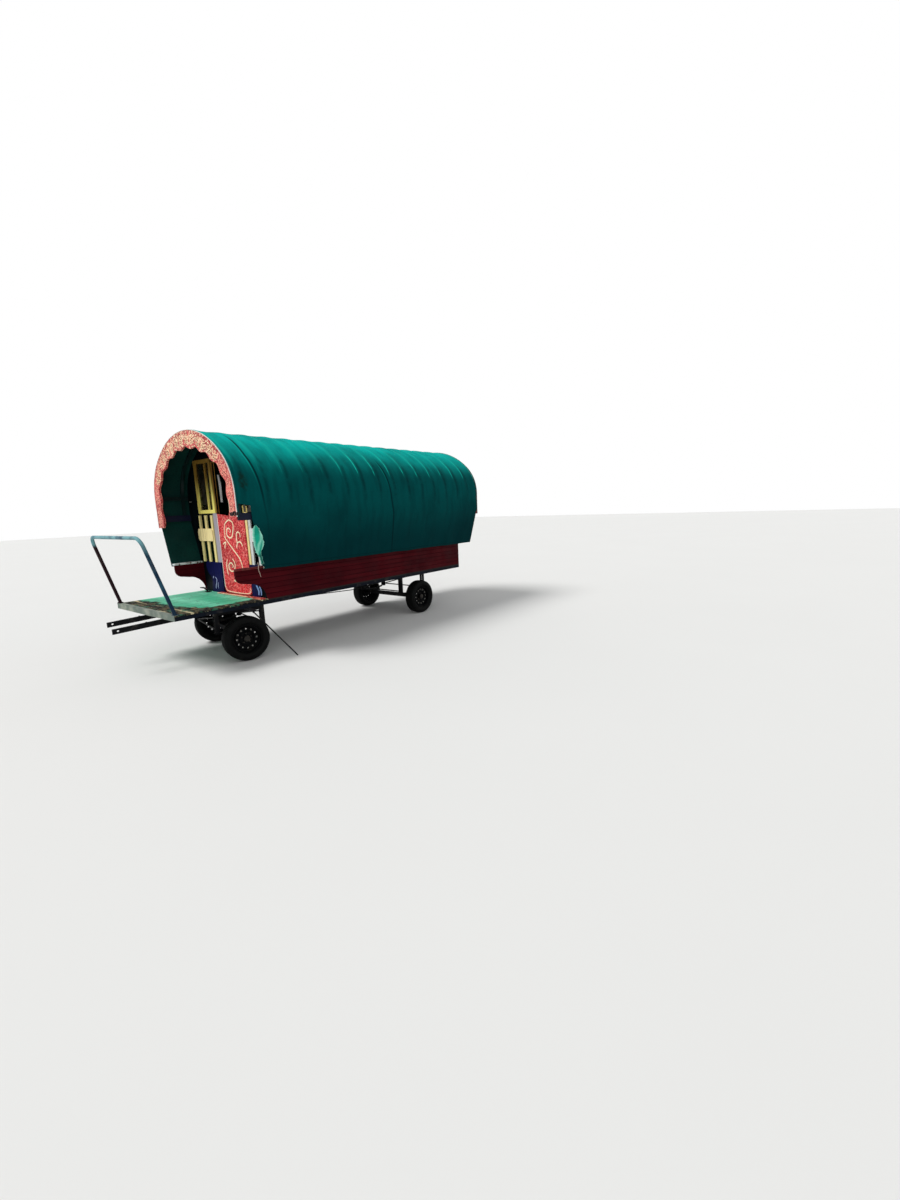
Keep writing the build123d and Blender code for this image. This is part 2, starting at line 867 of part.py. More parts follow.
def leaf_pack(x, y, centre):
    """Stack of bowed leaves on the axle, each leaf shorter than the one above."""
    pack = None
    full = spring_half_length
    bow_radius = (full**2 + spring_camber**2) / (2 * spring_camber)
    for number in range(leaf_count):
        level = leaf_count - 1 - number
        low = leaf_low_z + level * leaf_thickness
        half = full * (1 - leaf_step_share * number)
        mid_z = low + bow_radius
        lift = mid_z - math.sqrt(bow_radius**2 - half**2)
        upper_radius = bow_radius - leaf_thickness
        lift_up = mid_z - math.sqrt(upper_radius**2 - half**2)
        edges = [
            ThreePointArc((y - half, lift), (y, low), (y + half, lift)),
            Line((y + half, lift), (y + half, lift_up)),
            ThreePointArc((y + half, lift_up), (y, low + leaf_thickness), (y - half, lift_up)),
            Line((y - half, lift_up), (y - half, lift)),
        ]
        leaf = along(edges, x - spring_width / 2, x + spring_width / 2)
        pack = leaf if pack is None else pack + leaf
    for end in (-1, 1):
        eye = Pos(x, y + end * full, eye_z) * Rot(0, 90, 0) * Cylinder(eye_radius, spring_width)
        pack += eye
    half_clamp = spring_width / 2 + clamp_overlap
    pack += block(
        x - half_clamp,
        x + half_clamp,
        y - axle_beam / 2,
        y + axle_beam / 2,
        leaf_low_z,
        leaf_low_z + leaf_count * leaf_thickness + spring_clamp,
    )
    return centre * pack


def springs(y, centre):
    """The two leaf springs of one axle."""
    left = leaf_pack(inner_rail_x, y, centre)
    right = leaf_pack(-inner_rail_x, y, centre)
    return solids_of(left, right)


def hangers(y, top_z, centre):
    """Plate legs each side of every spring eye, joined across the wagon by ties and a stay."""
    gap = spring_width / 2 + running_gap
    edge = gap + hanger_plate
    low = eye_z - eye_radius - hanger_skirt
    legs = None
    for end in (-1, 1):
        y0 = y + end * spring_half_length - hanger_width / 2
        y1 = y0 + hanger_width
        for side in (1, -1):
            x = side * inner_rail_x
            hanger = block(x - edge, x + edge, y0, y1, low, top_z)
            hanger -= block(x - gap, x + gap, y0 - 1, y1 + 1, low - 1, top_z - hanger_plate)
            legs = hanger if legs is None else legs + hanger
        inside = inner_rail_x - gap - hanger_plate / 2
        tie_y = (y0 + y1) / 2
        tie_z = eye_z + eye_radius
        legs += rod((-inside, tie_y, tie_z), (inside, tie_y, tie_z), stay_radius)
        stay_z = top_z - 3 * stay_radius
        legs += rod((-inside, tie_y, tie_z), (inside, tie_y, stay_z), stay_radius)
    return centre * legs


def ring():
    """A flat turntable ring about the king pin, standing on the ground plane."""
    lift = Pos(0, 0, ring_thickness / 2)
    outer = Cylinder(ring_radius, ring_thickness)
    return lift * (outer - Cylinder(ring_radius - ring_width, ring_thickness))


def upper_ring():
    """Fixed ring of the turntable, on spacers under the cross-members."""
    fixed = Pos(0, front_axle_y, frame_low_z - ring_thickness) * ring()
    reach = ring_radius - ring_width / 2
    chord = math.sqrt(ring_radius**2 - reach**2) - rail_width / 2
    low, high = frame_low_z, frame_low_z + runner_depth
    for y, half in ((-reach, chord), (0, ring_radius), (reach, chord)):
        middle = front_axle_y + y
        fixed += block(
            -half, half, middle - rail_width / 2, middle + rail_width / 2, low, high
        )
    return fixed


def king_pin():
    """Pin under the chassis that the steered truck turns on."""
    low = truck_low_z - running_gap
    middle = (low + frame_low_z) / 2
    shank = Pos(0, front_axle_y, middle) * Cylinder(king_pin_radius, frame_low_z - low)
    head_z = low - king_head_height / 2
    return shank + Pos(0, front_axle_y, head_z) * Cylinder(king_head_radius, king_head_height)


def lower_ring(centre):
    """Turning ring of the truck."""
    return centre * Pos(0, 0, truck_top_z) * ring()


def truck_frame(centre):
    """Bolster, spring carriers and cross bars of the steered truck."""
    half = inner_rail_x + rail_width
    reach = spring_half_length + hanger_width / 2
    beam = truck_beam_width / 2
    # X and Y limits of each bar
    bars = [(-half, half, -beam, beam), (-half, half, reach - truck_cross_bar, reach)]
    for side in (1, -1):
        x = side * inner_rail_x
        bars.append((x - rail_width, x + rail_width, -reach, reach))
        x = side * drawbar_x
        bars.append((x - rail_width / 2, x + rail_width / 2, 0, ring_radius - ring_width))
    frame = None
    for x0, x1, y0, y1 in bars:
        bar = block(x0, x1, y0, y1, truck_low_z, truck_top_z)
        frame = bar if frame is None else frame + bar
    bore = king_pin_radius + running_gap
    frame -= Pos(0, 0, (truck_low_z + truck_top_z) / 2) * Cylinder(bore, 2 * truck_depth)
    return centre * frame


def drawbar_fall(y):
    """How far a drawbar has dropped at a place ahead of the truck's beam."""
    return drawbar_slope * (-truck_beam_width / 2 - y)


def drawbar(side, centre):
    """Flat bar that slopes down ahead of the truck, with a hole near its tip for a shaft pin."""
    x = side * drawbar_x
    root = -truck_beam_width / 2
    tip = -drawbar_reach
    corners = [
        (root, truck_top_z),
        (tip, truck_top_z - drawbar_fall(tip)),
        (tip, truck_top_z - drawbar_depth - drawbar_fall(tip)),
        (root, truck_top_z - drawbar_depth),
    ]
    edges = [Line(corners[i - 1], corners[i]) for i in range(len(corners))]
    bar = along(edges, x - drawbar_width / 2, x + drawbar_width / 2)
    pin_y = tip + drawbar_pin_inset
    pin_z = truck_top_z - drawbar_depth / 2 - drawbar_fall(pin_y)
    hole = Pos(x, pin_y, pin_z) * Rot(0, 90, 0) * Cylinder(drawbar_pin_radius, 2 * drawbar_width)
    return centre * (bar - hole)


def brake_gear():
    """Long pull rod under the floor, from its post to the rear hanger."""
    y0 = front_axle_y + wheelbase / 3
    y1 = rear_axle_y - spring_half_length - hanger_width / 2 - running_gap
    x1 = -inner_rail_x + spring_width / 2 + running_gap + hanger_plate / 2
    z0 = frame_low_z - brake_rod_low
    half = brake_post / 2
    gear = rod((0, y0, z0), (x1, y1 + brake_rod_radius, eye_z), brake_rod_radius)
    beyond = hanger_width / 2
    gear -= block(x1 - beyond, x1 + beyond, y1, y1 + beyond, eye_z - beyond, eye_z + beyond)
    post = block(-half, half, y0 - half, y0 + half, z0 - half, frame_low_z + runner_depth)
    return gear + post


def staff_bracket():
    """Strap out from the side rail that carries the drag staff."""
    y = front_axle_y - staff_head_ahead
    reach = staff_head_x + 2 * staff_head_radius
    low = staff_head_z + staff_head_radius + running_gap
    half = bracket_width / 2
    return block(deck_half_width - rail_width, reach, y - half, y + half, low, frame_low_z)


def drag_staff():
    """Thin staff that leans from its bracket out to the ground."""
    y0 = front_axle_y - staff_head_ahead
    y1 = front_axle_y + staff_foot_behind
    foot = (staff_foot_x, y1, staff_radius + staff_floor_gap)
    staff = rod((staff_head_x, y0, staff_head_z), foot, staff_radius)
    staff += Pos(staff_head_x, y0, staff_head_z) * Sphere(staff_head_radius)
    return staff


def brake_pedal():
    """Foot pedal on a leaning arm that stands on the platform beside the wall."""
    y = wall_y - pedal_ahead_of_wall
    base_y = y + pedal_half_width
    high = deck_top_z + pedal_height
    half = pedal_half_width
    arm = rod((pedal_x, base_y, deck_top_z), (pedal_x, y, high), stay_radius)
    pad = block(
        pedal_x - half, pedal_x + half, y - 2 * pedal_plate, y + pedal_plate, high - pedal_plate, high
    )
    base = block(
        pedal_x - half / 2,
        pedal_x + half / 2,
        base_y - half / 2,
        base_y + half / 2,
        deck_top_z,
        deck_top_z + pedal_plate,
    )
    above = block(
        pedal_x - half, pedal_x + half, y - half, base_y + half, deck_top_z, high + pedal_plate
    )
    return (arm + pad + base) & above


os.makedirs("parts", exist_ok=True)

truck = Pos(0, front_axle_y, 0) * Rot(0, 0, parked_steer_deg)
wheel_x = tyre_inner_x + tyre_width / 2

pieces = {
    "chassis_side_rails": chassis_side_rails(),
    "chassis_cross_members": chassis_cross_members(),
    "chassis_runners": chassis_runners(),
    "front_edge": front_edge(),
    "platform_deck": floor_board(platform_front_y + edge_plate, wall_y),
    "cabin_floor": floor_board(wall_y, body_rear_y),
    "handrail": handrail(),
    "side_boards_left": side_boards(1),
    "side_boards_right": side_boards(-1),
    "rear_boards": rear_boards(),
    "ledges": ledges(),
    "side_wall_left": side_wall(1),
    "side_wall_right": side_wall(-1),
    "waist_rails": waist_rails(),
    "roof_frame": roof_frame(),
    "canvas_cover": canvas_cover(),
    "crown_front": crown(nose_y - crown_thickness, crown_near_end_z),
    "crown_rear": crown(crown_rear_y, crown_end_z),
    "front_wall": front_wall(),
    "front_windows": front_windows(),
    "pickets": pickets(),
    "ogee_brackets": ogee_brackets(),
    "rear_wall": rear_wall(),
    "rear_window": rear_window(),
    "half_door": half_door(),
    "threshold": threshold(),
    "door_posts": door_posts(),
    "rear_axle": axle(Pos(0, rear_axle_y, tyre_radius)),
    "rear_springs": springs(rear_axle_y, Pos(0, 0, 0)),
    "rear_hangers": hangers(rear_axle_y, frame_low_z, Pos(0, 0, 0)),
    "upper_ring": upper_ring(),
    "king_pin": king_pin(),
    "lower_ring": lower_ring(truck),
    "truck_frame": truck_frame(truck),
    "drawbar_left": drawbar(1, truck),
    "drawbar_right": drawbar(-1, truck),
    "front_axle": axle(truck * Pos(0, 0, tyre_radius)),
    "front_springs": springs(0, truck),
    "front_hangers": hangers(0, truck_low_z, truck),
    "brake_gear": brake_gear(),
    "staff_bracket": staff_bracket(),
    "drag_staff": drag_staff(),
    "brake_pedal": brake_pedal(),
}

# End of the wagon, side of the wagon, and where the axle line is
wheels = [
    ("front", "left", truck * Pos(wheel_x, 0, tyre_radius), 1),
    ("front", "right", truck * Pos(-wheel_x, 0, tyre_radius), -1),
    ("rear", "left", Pos(wheel_x, rear_axle_y, tyre_radius), 1),
    ("rear", "right", Pos(-wheel_x, rear_axle_y, tyre_radius), -1),
]
for end, side, centre, outward in wheels:
    pieces[f"tyre_{end}_{side}"] = tyre(centre)
    pieces[f"rim_{end}_{side}"] = rim(centre, outward)

for name, shape in pieces.items():
    export_step(shape, f"parts/{name}.step")
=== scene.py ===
import logging
import math
from dataclasses import dataclass, replace
from enum import Enum
from typing import Callable, ClassVar, Sequence

import bmesh
import bpy
from mathutils import Matrix, Vector, noise


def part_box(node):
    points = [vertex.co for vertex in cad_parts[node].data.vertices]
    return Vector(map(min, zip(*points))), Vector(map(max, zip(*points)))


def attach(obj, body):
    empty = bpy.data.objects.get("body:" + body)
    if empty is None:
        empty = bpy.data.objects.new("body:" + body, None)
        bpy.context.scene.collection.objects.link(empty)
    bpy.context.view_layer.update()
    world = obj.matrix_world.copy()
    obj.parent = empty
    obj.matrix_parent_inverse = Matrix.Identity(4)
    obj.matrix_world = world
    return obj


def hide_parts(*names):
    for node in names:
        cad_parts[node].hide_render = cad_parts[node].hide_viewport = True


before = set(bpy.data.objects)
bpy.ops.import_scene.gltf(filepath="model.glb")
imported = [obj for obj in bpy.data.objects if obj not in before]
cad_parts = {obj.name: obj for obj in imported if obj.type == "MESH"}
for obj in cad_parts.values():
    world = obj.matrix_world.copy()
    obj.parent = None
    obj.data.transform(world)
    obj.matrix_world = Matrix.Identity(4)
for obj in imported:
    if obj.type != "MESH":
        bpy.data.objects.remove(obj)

# A barrel-topped living wagon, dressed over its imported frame. Lengths are in metres.
# X is across the wagon, Y runs from its front to its back, Z is up from the ground.

log = logging.getLogger("wagon")

Point = tuple[float, float, float]
Flat = tuple[float, float]
Stroke = tuple[list[Flat], float]
Colour = tuple[float, float, float, float]
Socket = bpy.types.NodeSocket
Value = Socket | float

NO_COLOUR: Colour = (0.0, 0.0, 0.0, 1.0)


def screen(red: int, green: int, blue: int) -> Colour:
    """Gives the linear colour of a screen colour.

    Args:
        red: Red from 0 to 255.
        green: Green from 0 to 255.
        blue: Blue from 0 to 255.

    Returns:
        The linear colour with a full alpha.
    """
    parts = []
    for part in (red, green, blue):
        share = part / 255
        parts.append(share / 12.92 if share <= 0.04045 else ((share + 0.055) / 1.055) ** 2.4)
    return (parts[0], parts[1], parts[2], 1.0)


class Run(Enum):
    """Which way a grain, a crease or a streak runs, as the stretch of its pattern."""

    EVEN = (1.0, 1.0, 1.0)
    ALONG = (1.0, 0.05, 1.0)
    ACROSS = (0.05, 1.0, 1.0)
    UP = (1.0, 1.0, 0.06)
    STREAKS = (0.35, 1.6, 1.0)
    CREASES = (1.3, 2.6, 1.0)


class Recipe:
    """A material's node tree, put together by short calls."""

    def __init__(self, name: str, on_uv: bool = False) -> None:
        """Starts the tree with its shader and its coordinates.

        Args:
            name: Name of the material.
            on_uv: True where the pattern follows the piece's own UV map.
        """
        self.material = bpy.data.materials.new(name)
        self.material.use_nodes = True
        self.tree = self.material.node_tree
        self.shader = self.tree.nodes["Principled BSDF"]
        source = self.node("ShaderNodeTexCoord")
        self.place = source.outputs["UV" if on_uv else "Object"]
        self.relief: Socket | None = None

    def node(self, kind: str, **settings: object) -> bpy.types.Node:
        """Adds a node.

        Args:
            kind: Name of its type.
            **settings: Its properties.

        Returns:
            The node.
        """
        made = self.tree.nodes.new(kind)
        for key, value in settings.items():
            setattr(made, key, value)
        return made

    def feed(self, socket: Socket, value: Value) -> None:
        """Gives a socket its value.

        Args:
            socket: The socket.
            value: A number or a colour to set it to, or another node's socket to link.
        """
        if isinstance(value, bpy.types.NodeSocket):
            self.tree.links.new(value, socket)
        else:
            socket.default_value = value

    def stretched(self, stretch: Point, shift: float = 0.0) -> Socket:
        """Gives the coordinates stretched and moved.

        Args:
            stretch: Factor along each axis.
            shift: How far they move, by another share of it on each axis.

        Returns:
            The coordinates' socket.
        """
        mapping = self.node("ShaderNodeMapping")
        self.feed(mapping.inputs["Vector"], self.place)
        mapping.inputs["Scale"].default_value = stretch
        mapping.inputs["Location"].default_value = (shift, shift * 0.7, shift * 1.3)
        return mapping.outputs[0]

    def cloud(
        self,
        scale: float,
        detail: float = 4.0,
        run: Run = Run.EVEN,
        shift: float = 0.0,
        rough: float = 0.5,
        warp: float = 0.0,
    ) -> Socket:
        """Gives a cloudy value that lies mostly between 0.3 and 0.7.

        Args:
            scale: Clouds per metre.
            detail: How many finer layers it has.
            run: Which way it is stretched.
            shift: Moves the pattern, so that two of them differ.
            rough: Strength of the finer layers.
            warp: How much it swirls.

        Returns:
            The value's socket.
        """
        made = self.node("ShaderNodeTexNoise")
        self.feed(made.inputs["Vector"], self.stretched(run.value, shift))
        made.inputs["Scale"].default_value = scale
        made.inputs["Detail"].default_value = detail
        made.inputs["Roughness"].default_value = rough
        made.inputs["Distortion"].default_value = warp
        return made.outputs[0]

    def cells(self, scale: float, run: Run = Run.EVEN, edges: bool = False) -> Socket:
        """Gives how far a place is from a cell's centre or edge.

        Args:
            scale: Cells per metre.
            run: Which way they are stretched.
            edges: True for the distance to the nearest edge.

        Returns:
            The distance's socket.
        """
        made = self.node("ShaderNodeTexVoronoi")
        made.feature = "DISTANCE_TO_EDGE" if edges else "F1"
        self.feed(made.inputs["Vector"], self.stretched(run.value))
        made.inputs["Scale"].default_value = scale
        return made.outputs["Distance"]

    def chance(self, number: Socket) -> Socket:
        """Gives a random value that stays the same for the same number.

        Args:
            number: The number.

        Returns:
            The value's socket, from 0 to 1.
        """
        made = self.node("ShaderNodeTexWhiteNoise", noise_dimensions="1D")
        self.feed(made.inputs["W"], number)
        return made.outputs["Value"]

    def axis(self, name: str) -> Socket:
        """Gives one coordinate.

        Args:
            name: X, Y or Z.

        Returns:
            The coordinate's socket.
        """
        split = self.node("ShaderNodeSeparateXYZ")
        self.feed(split.inputs[0], self.place)
        return split.outputs[name]

    def calc(self, operation: str, first: Value, second: Value = 0.0) -> Socket:
        """Works out one sum.

        Args:
            operation: The Math node's operation.
            first: Its first value.
            second: Its second value, where it has one.

        Returns:
            The result's socket.
        """
        made = self.node("ShaderNodeMath", operation=operation)
        self.feed(made.inputs[0], first)
        self.feed(made.inputs[1], second)
        return made.outputs[0]

    def times(self, first: Value, second: Value) -> Socket:
        """Multiplies two values."""
        return self.calc("MULTIPLY", first, second)

    def plus(self, first: Value, second: Value) -> Socket:
        """Adds two values."""
        return self.calc("ADD", first, second)

    def less(self, first: Value, second: Value) -> Socket:
        """Takes the second value from the first."""
        return self.calc("SUBTRACT", first, second)

    def level(
        self, value: Value, low: float, high: float, start: float = 0.0, end: float = 1.0
    ) -> Socket:
        """Gives a value that turns smoothly as another one rises.

        Args:
            value: The value that rises.
            low: Where the turn starts.
            high: Where it is done.
            start: What it gives at low.
            end: What it gives at high.

        Returns:
            The new value's socket.
        """
        made = self.node("ShaderNodeMapRange", interpolation_type="SMOOTHSTEP")
        self.feed(made.inputs["Value"], value)
        limits = {"From Min": low, "From Max": high, "To Min": start, "To Max": end}
        for key, number in limits.items():
            made.inputs[key].default_value = number
        return made.outputs["Result"]

    def band(self, value: Value, middle: float, half: float, soft: float) -> Socket:
        """Gives 1 near a middle value, and 0 further off than half of the band's width."""
        off = self.calc("ABSOLUTE", self.less(value, middle))
        return self.level(off, half, half + soft, 1.0, 0.0)

    def mix(self, share: Value, first: object, second: object) -> Socket:
        """Gives a colour between two.

        Args:
            share: Share of the second colour.
            first: The first colour, as a socket or a colour.
            second: The second colour, as a socket or a colour.

        Returns:
            The mixed colour's socket.
        """
        made = self.node("ShaderNodeMix", data_type="RGBA")
        self.feed(made.inputs[0], share)
        self.feed(made.inputs[6], first)
        self.feed(made.inputs[7], second)
        return made.outputs[2]

    def raise_by(self, height: Socket, depth: float, strength: float = 0.6) -> None:
        """Adds relief to the surface.

        Args:
            height: The relief, from 0 to 1.
            depth: How deep it is.
            strength: How much of it shows.
        """
        made = self.node("ShaderNodeBump")
        made.inputs["Strength"].default_value = strength
        made.inputs["Distance"].default_value = depth
        self.feed(made.inputs["Height"], height)
        if self.relief is not None:
            self.feed(made.inputs["Normal"], self.relief)
        self.relief = made.outputs[0]

    def done(self, colour: object, roughness: Value, **constants: float) -> bpy.types.Material:
        """Finishes the shader.

        Args:
            colour: The base colour, as a socket or a colour.
            roughness: The roughness, as a socket or a number.
            **constants: Numbers for other sockets, with their names in lower case.

        Returns:
            The material.
        """
        self.feed(self.shader.inputs["Base Color"], colour)
        self.feed(self.shader.inputs["Roughness"], roughness)
        if self.relief is not None:
            self.feed(self.shader.inputs["Normal"], self.relief)
        for key, number in constants.items():
            socket = key.replace("_", " ").title().replace("Ior", "IOR")
            self.shader.inputs[socket].default_value = number
        return self.material


@dataclass(frozen=True)
class Finish:
    """A finish that makes its material once and then gives it again."""

    name: str
    made: ClassVar[dict[str, bpy.types.Material]] = {}

    def material(self) -> bpy.types.Material:
        """Gives the finish's material, which it makes the first time.

        Returns:
            The material.
        """
        if self.name not in Finish.made:
            Finish.made[self.name] = self.make()
        return Finish.made[self.name]

    def make(self) -> bpy.types.Material:
        """Builds its nodes.

        Returns:
            The material.
        """
        raise NotImplementedError


@dataclass(frozen=True)
class PaintedWood(Finish):
    """Brushed paint on wood, with grain under it, dark patches and chips."""

    paint: Colour
    shadow: Colour
    under: Colour
    run: Run = Run.ALONG
    chips: float = 0.3
    grain: float = 26.0
    roughness: float = 0.55
    seam_pitch: float = 0.0
    seam_start: float = 0.0
    gloss: float = 0.14

    def make(self) -> bpy.types.Material:
        """Builds its nodes.

        Returns:
            The material.
        """
        r = Recipe(self.name)
        patches = r.level(r.cloud(2.2, 5), 0.38, 0.68)
        colour = r.mix(r.times(patches, 0.55), self.paint, self.shadow)
        fibres = r.cloud(self.grain, 6, self.run, 3.0)
        colour = r.mix(r.level(fibres, 0.45, 0.72, 0.0, 0.5), colour, self.shadow)
        chipped = r.level(r.cloud(34, 8, rough=0.72, shift=7.0), 0.70 - 0.14 * self.chips, 0.72)
        colour = r.mix(chipped, colour, self.under)
        if self.seam_pitch > 0:
            row = r.calc("DIVIDE", r.less(r.axis("Z"), self.seam_start), self.seam_pitch)
            edge = r.calc("PINGPONG", row, 0.5)
            seam = r.level(edge, 0.02, 0.075, 1.0, 0.0)
            colour = r.mix(r.times(seam, 0.75), colour, self.shadow)
            board = r.calc("FLOOR", row)
            colour = r.mix(r.times(r.chance(board), 0.3), colour, self.shadow)
        r.raise_by(fibres, 0.0012, 0.5)
        r.raise_by(r.times(chipped, -1.0), 0.0008, 0.8)
        shine = r.level(r.cloud(5, 4, shift=5.0), 0.3, 0.7, self.roughness - 0.1, self.roughness + 0.15)
        return r.done(colour, shine, specular_ior_level=self.gloss)


@dataclass(frozen=True)
class SplitPaint(Finish):
    """Brushed paint whose colour changes at a place across the wagon, with painted shade higher up."""

    below: Colour
    above: Colour
    shadow: Colour
    under: Colour
    meet: float = 0.45
    soft: float = 0.01
    block: Colour = NO_COLOUR
    block_low: float = 0.0
    block_high: float = 0.0
    shade_above: Colour = NO_COLOUR
    shade_low: float = 0.0
    shade_high: float = 0.0

    def make(self) -> bpy.types.Material:
        """Builds its nodes.

        Returns:
            The material.
        """
        r = Recipe(self.name)
        side = r.level(r.axis("X"), self.meet - self.soft, self.meet + self.soft)
        other = r.less(1.0, side)
        colour = r.mix(side, self.below, self.above)
        if self.block_high > 0:
            middle = (self.block_low + self.block_high) / 2
            half = (self.block_high - self.block_low) / 2
            here = r.times(r.band(r.axis("Z"), middle, half, 0.002), other)
            colour = r.mix(here, colour, self.block)
        fibres = r.cloud(34, 6, Run.UP, 3.0)
        # Painted shade: higher up, the below-colour side turns to the shade colour, with a ragged edge.
        if self.shade_high > 0:
            patchy = r.plus(r.axis("Z"), r.times(r.less(fibres, 0.5), 0.5))
            shade_above = r.times(r.level(patchy, self.shade_low, self.shade_high), other)
            colour = r.mix(shade_above, colour, self.shade_above)
        colour = r.mix(r.level(fibres, 0.48, 0.74, 0.0, 0.5), colour, self.shadow)
        chipped = r.level(r.cloud(30, 8, rough=0.72, shift=7.0), 0.63, 0.68)
        colour = r.mix(chipped, colour, self.under)
        r.raise_by(fibres, 0.0010, 0.5)
        r.raise_by(r.times(chipped, -1.0), 0.0008, 0.8)
        return r.done(colour, r.level(r.cloud(5, 4), 0.3, 0.7, 0.42, 0.66), specular_ior_level=0.18)


@dataclass(frozen=True)
class MottledPaint(Finish):
    """Red paint covered with fine cream and dark brushwork, as dense scrolls look from afar."""

    paint: Colour
    dark: Colour
    cream: Colour
    speckle: float = 0.5
    creamy_above: float = 0.0
    swirl_scale: float = 26.0

    def make(self) -> bpy.types.Material:
        """Builds its nodes.

        Returns:
            The material.
        """
        r = Recipe(self.name)
        colour = r.mix(r.level(r.cloud(3, 4), 0.35, 0.7, 0.0, 0.5), self.paint, self.dark)
        swirl = r.cloud(self.swirl_scale, 3.0, warp=2.2)
        flecks = r.level(swirl, 0.52, 0.57)
        amount: Value = self.speckle
        if self.creamy_above > 0:
            low, high = self.creamy_above - 0.7, self.creamy_above
            amount = r.level(r.axis("Z"), low, high, self.speckle * 0.25, self.speckle)
        colour = r.mix(r.times(flecks, amount), colour, self.cream)
        lines = r.band(swirl, 0.455, 0.014, 0.014)
        colour = r.mix(r.times(lines, 0.9), colour, self.dark)
        fine = r.level(r.cloud(44, 4, shift=4.0), 0.56, 0.63)
        colour = r.mix(r.times(fine, 0.75), colour, self.dark)
        r.raise_by(r.cloud(60, 5, Run.UP, 2.0), 0.0008, 0.5)
        r.raise_by(flecks, 0.0006, 0.5)
        return r.done(colour, r.level(r.cloud(9, 3), 0.3, 0.7, 0.42, 0.62), specular_ior_level=0.18)


@dataclass(frozen=True)
class PeelingLedge(Finish):
    """White and pale blue paint that peels off a capping board, and maroon on the near one."""

    white: Colour
    blue: Colour
    wood: Colour
    maroon: Colour

    def make(self) -> bpy.types.Material:
        """Builds its nodes.

        Returns:
            The material.
        """
        r = Recipe(self.name)
        colour = r.mix(r.level(r.cloud(6, 5, Run.ALONG), 0.42, 0.6), self.white, self.blue)
        peeled = r.level(r.cloud(18, 9, shift=6.0, rough=0.68), 0.5, 0.54)
        grain = r.cloud(70, 6, Run.ALONG, 2.0)
        wood = r.mix(r.level(grain, 0.4, 0.65), self.wood, screen(60, 50, 42))
        colour = r.mix(peeled, colour, wood)
        red = r.mix(r.level(grain, 0.42, 0.66, 0.0, 0.6), self.maroon, screen(48, 8, 14))
        red = r.mix(r.times(peeled, 0.25), red, wood)
        colour = r.mix(r.level(r.axis("X"), -0.01, 0.01), colour, red)
        r.raise_by(r.times(peeled, -1.0), 0.0015, 0.9)
        r.raise_by(grain, 0.0008, 0.5)
        return r.done(colour, r.level(peeled, 0.0, 1.0, 0.55, 0.85), specular_ior_level=0.15)


@dataclass(frozen=True)
class WornDeck(Finish):
    """Green plywood deck that is bare, brown and mossy along its front and near edges."""

    green: Colour
    light: Colour
    brown: Colour
    moss: Colour
    front_y: float
    near_x: float

    def make(self) -> bpy.types.Material:
        """Builds its nodes.

        Returns:
            The material.
        """
        r = Recipe(self.name)
        colour = r.mix(r.level(r.cloud(4, 6, Run.ACROSS), 0.4, 0.62), self.green, self.light)
        scuffs = r.level(r.cloud(16, 8, shift=8.0, rough=0.7), 0.55, 0.64, 0.0, 0.75)
        colour = r.mix(scuffs, colour, screen(70, 92, 78))
        streaks = r.level(r.cloud(11, 9, Run.ALONG, 21.0, 0.78), 0.50, 0.58, 0.0, 0.65)
        colour = r.mix(streaks, colour, screen(52, 136, 106))
        ragged = r.times(r.less(r.cloud(5, 8, rough=0.66), 0.5), 0.4)
        ahead = r.less(self.front_y, r.axis("Y"))
        beside = r.less(r.axis("X"), self.near_x)
        slant, fall = 0.45, -0.9
        corner = r.plus(r.times(r.axis("X"), slant), r.times(r.axis("Y"), fall))
        corner = r.less(corner, slant * 0.35 + fall * (self.front_y + 0.06))
        off = r.plus(r.calc("MAXIMUM", corner, r.calc("MAXIMUM", ahead, beside)), ragged)
        bare = r.level(off, -0.02, 0.03)
        litter = r.mix(r.level(r.cells(46), 0.1, 0.5), self.moss, self.brown)
        litter = r.mix(r.level(r.cloud(11, 9, rough=0.74), 0.45, 0.51), litter, screen(18, 18, 18))
        straw = r.level(r.cloud(20, 7, Run.ACROSS, 5.0), 0.58, 0.61)
        litter = r.mix(straw, litter, screen(190, 178, 142))
        old_green = r.level(r.cloud(11, 6, shift=12.0), 0.56, 0.64, 0.0, 0.8)
        litter = r.mix(old_green, litter, screen(58, 104, 82))
        colour = r.mix(bare, colour, litter)
        grain = r.cloud(42, 7, Run.ACROSS, 1.0)
        r.raise_by(grain, 0.0012, 0.5)
        r.raise_by(r.times(r.cloud(80, 6, rough=0.7), bare), 0.006, 0.7)
        return r.done(colour, r.level(bare, 0.0, 1.0, 0.55, 0.9), specular_ior_level=0.12)


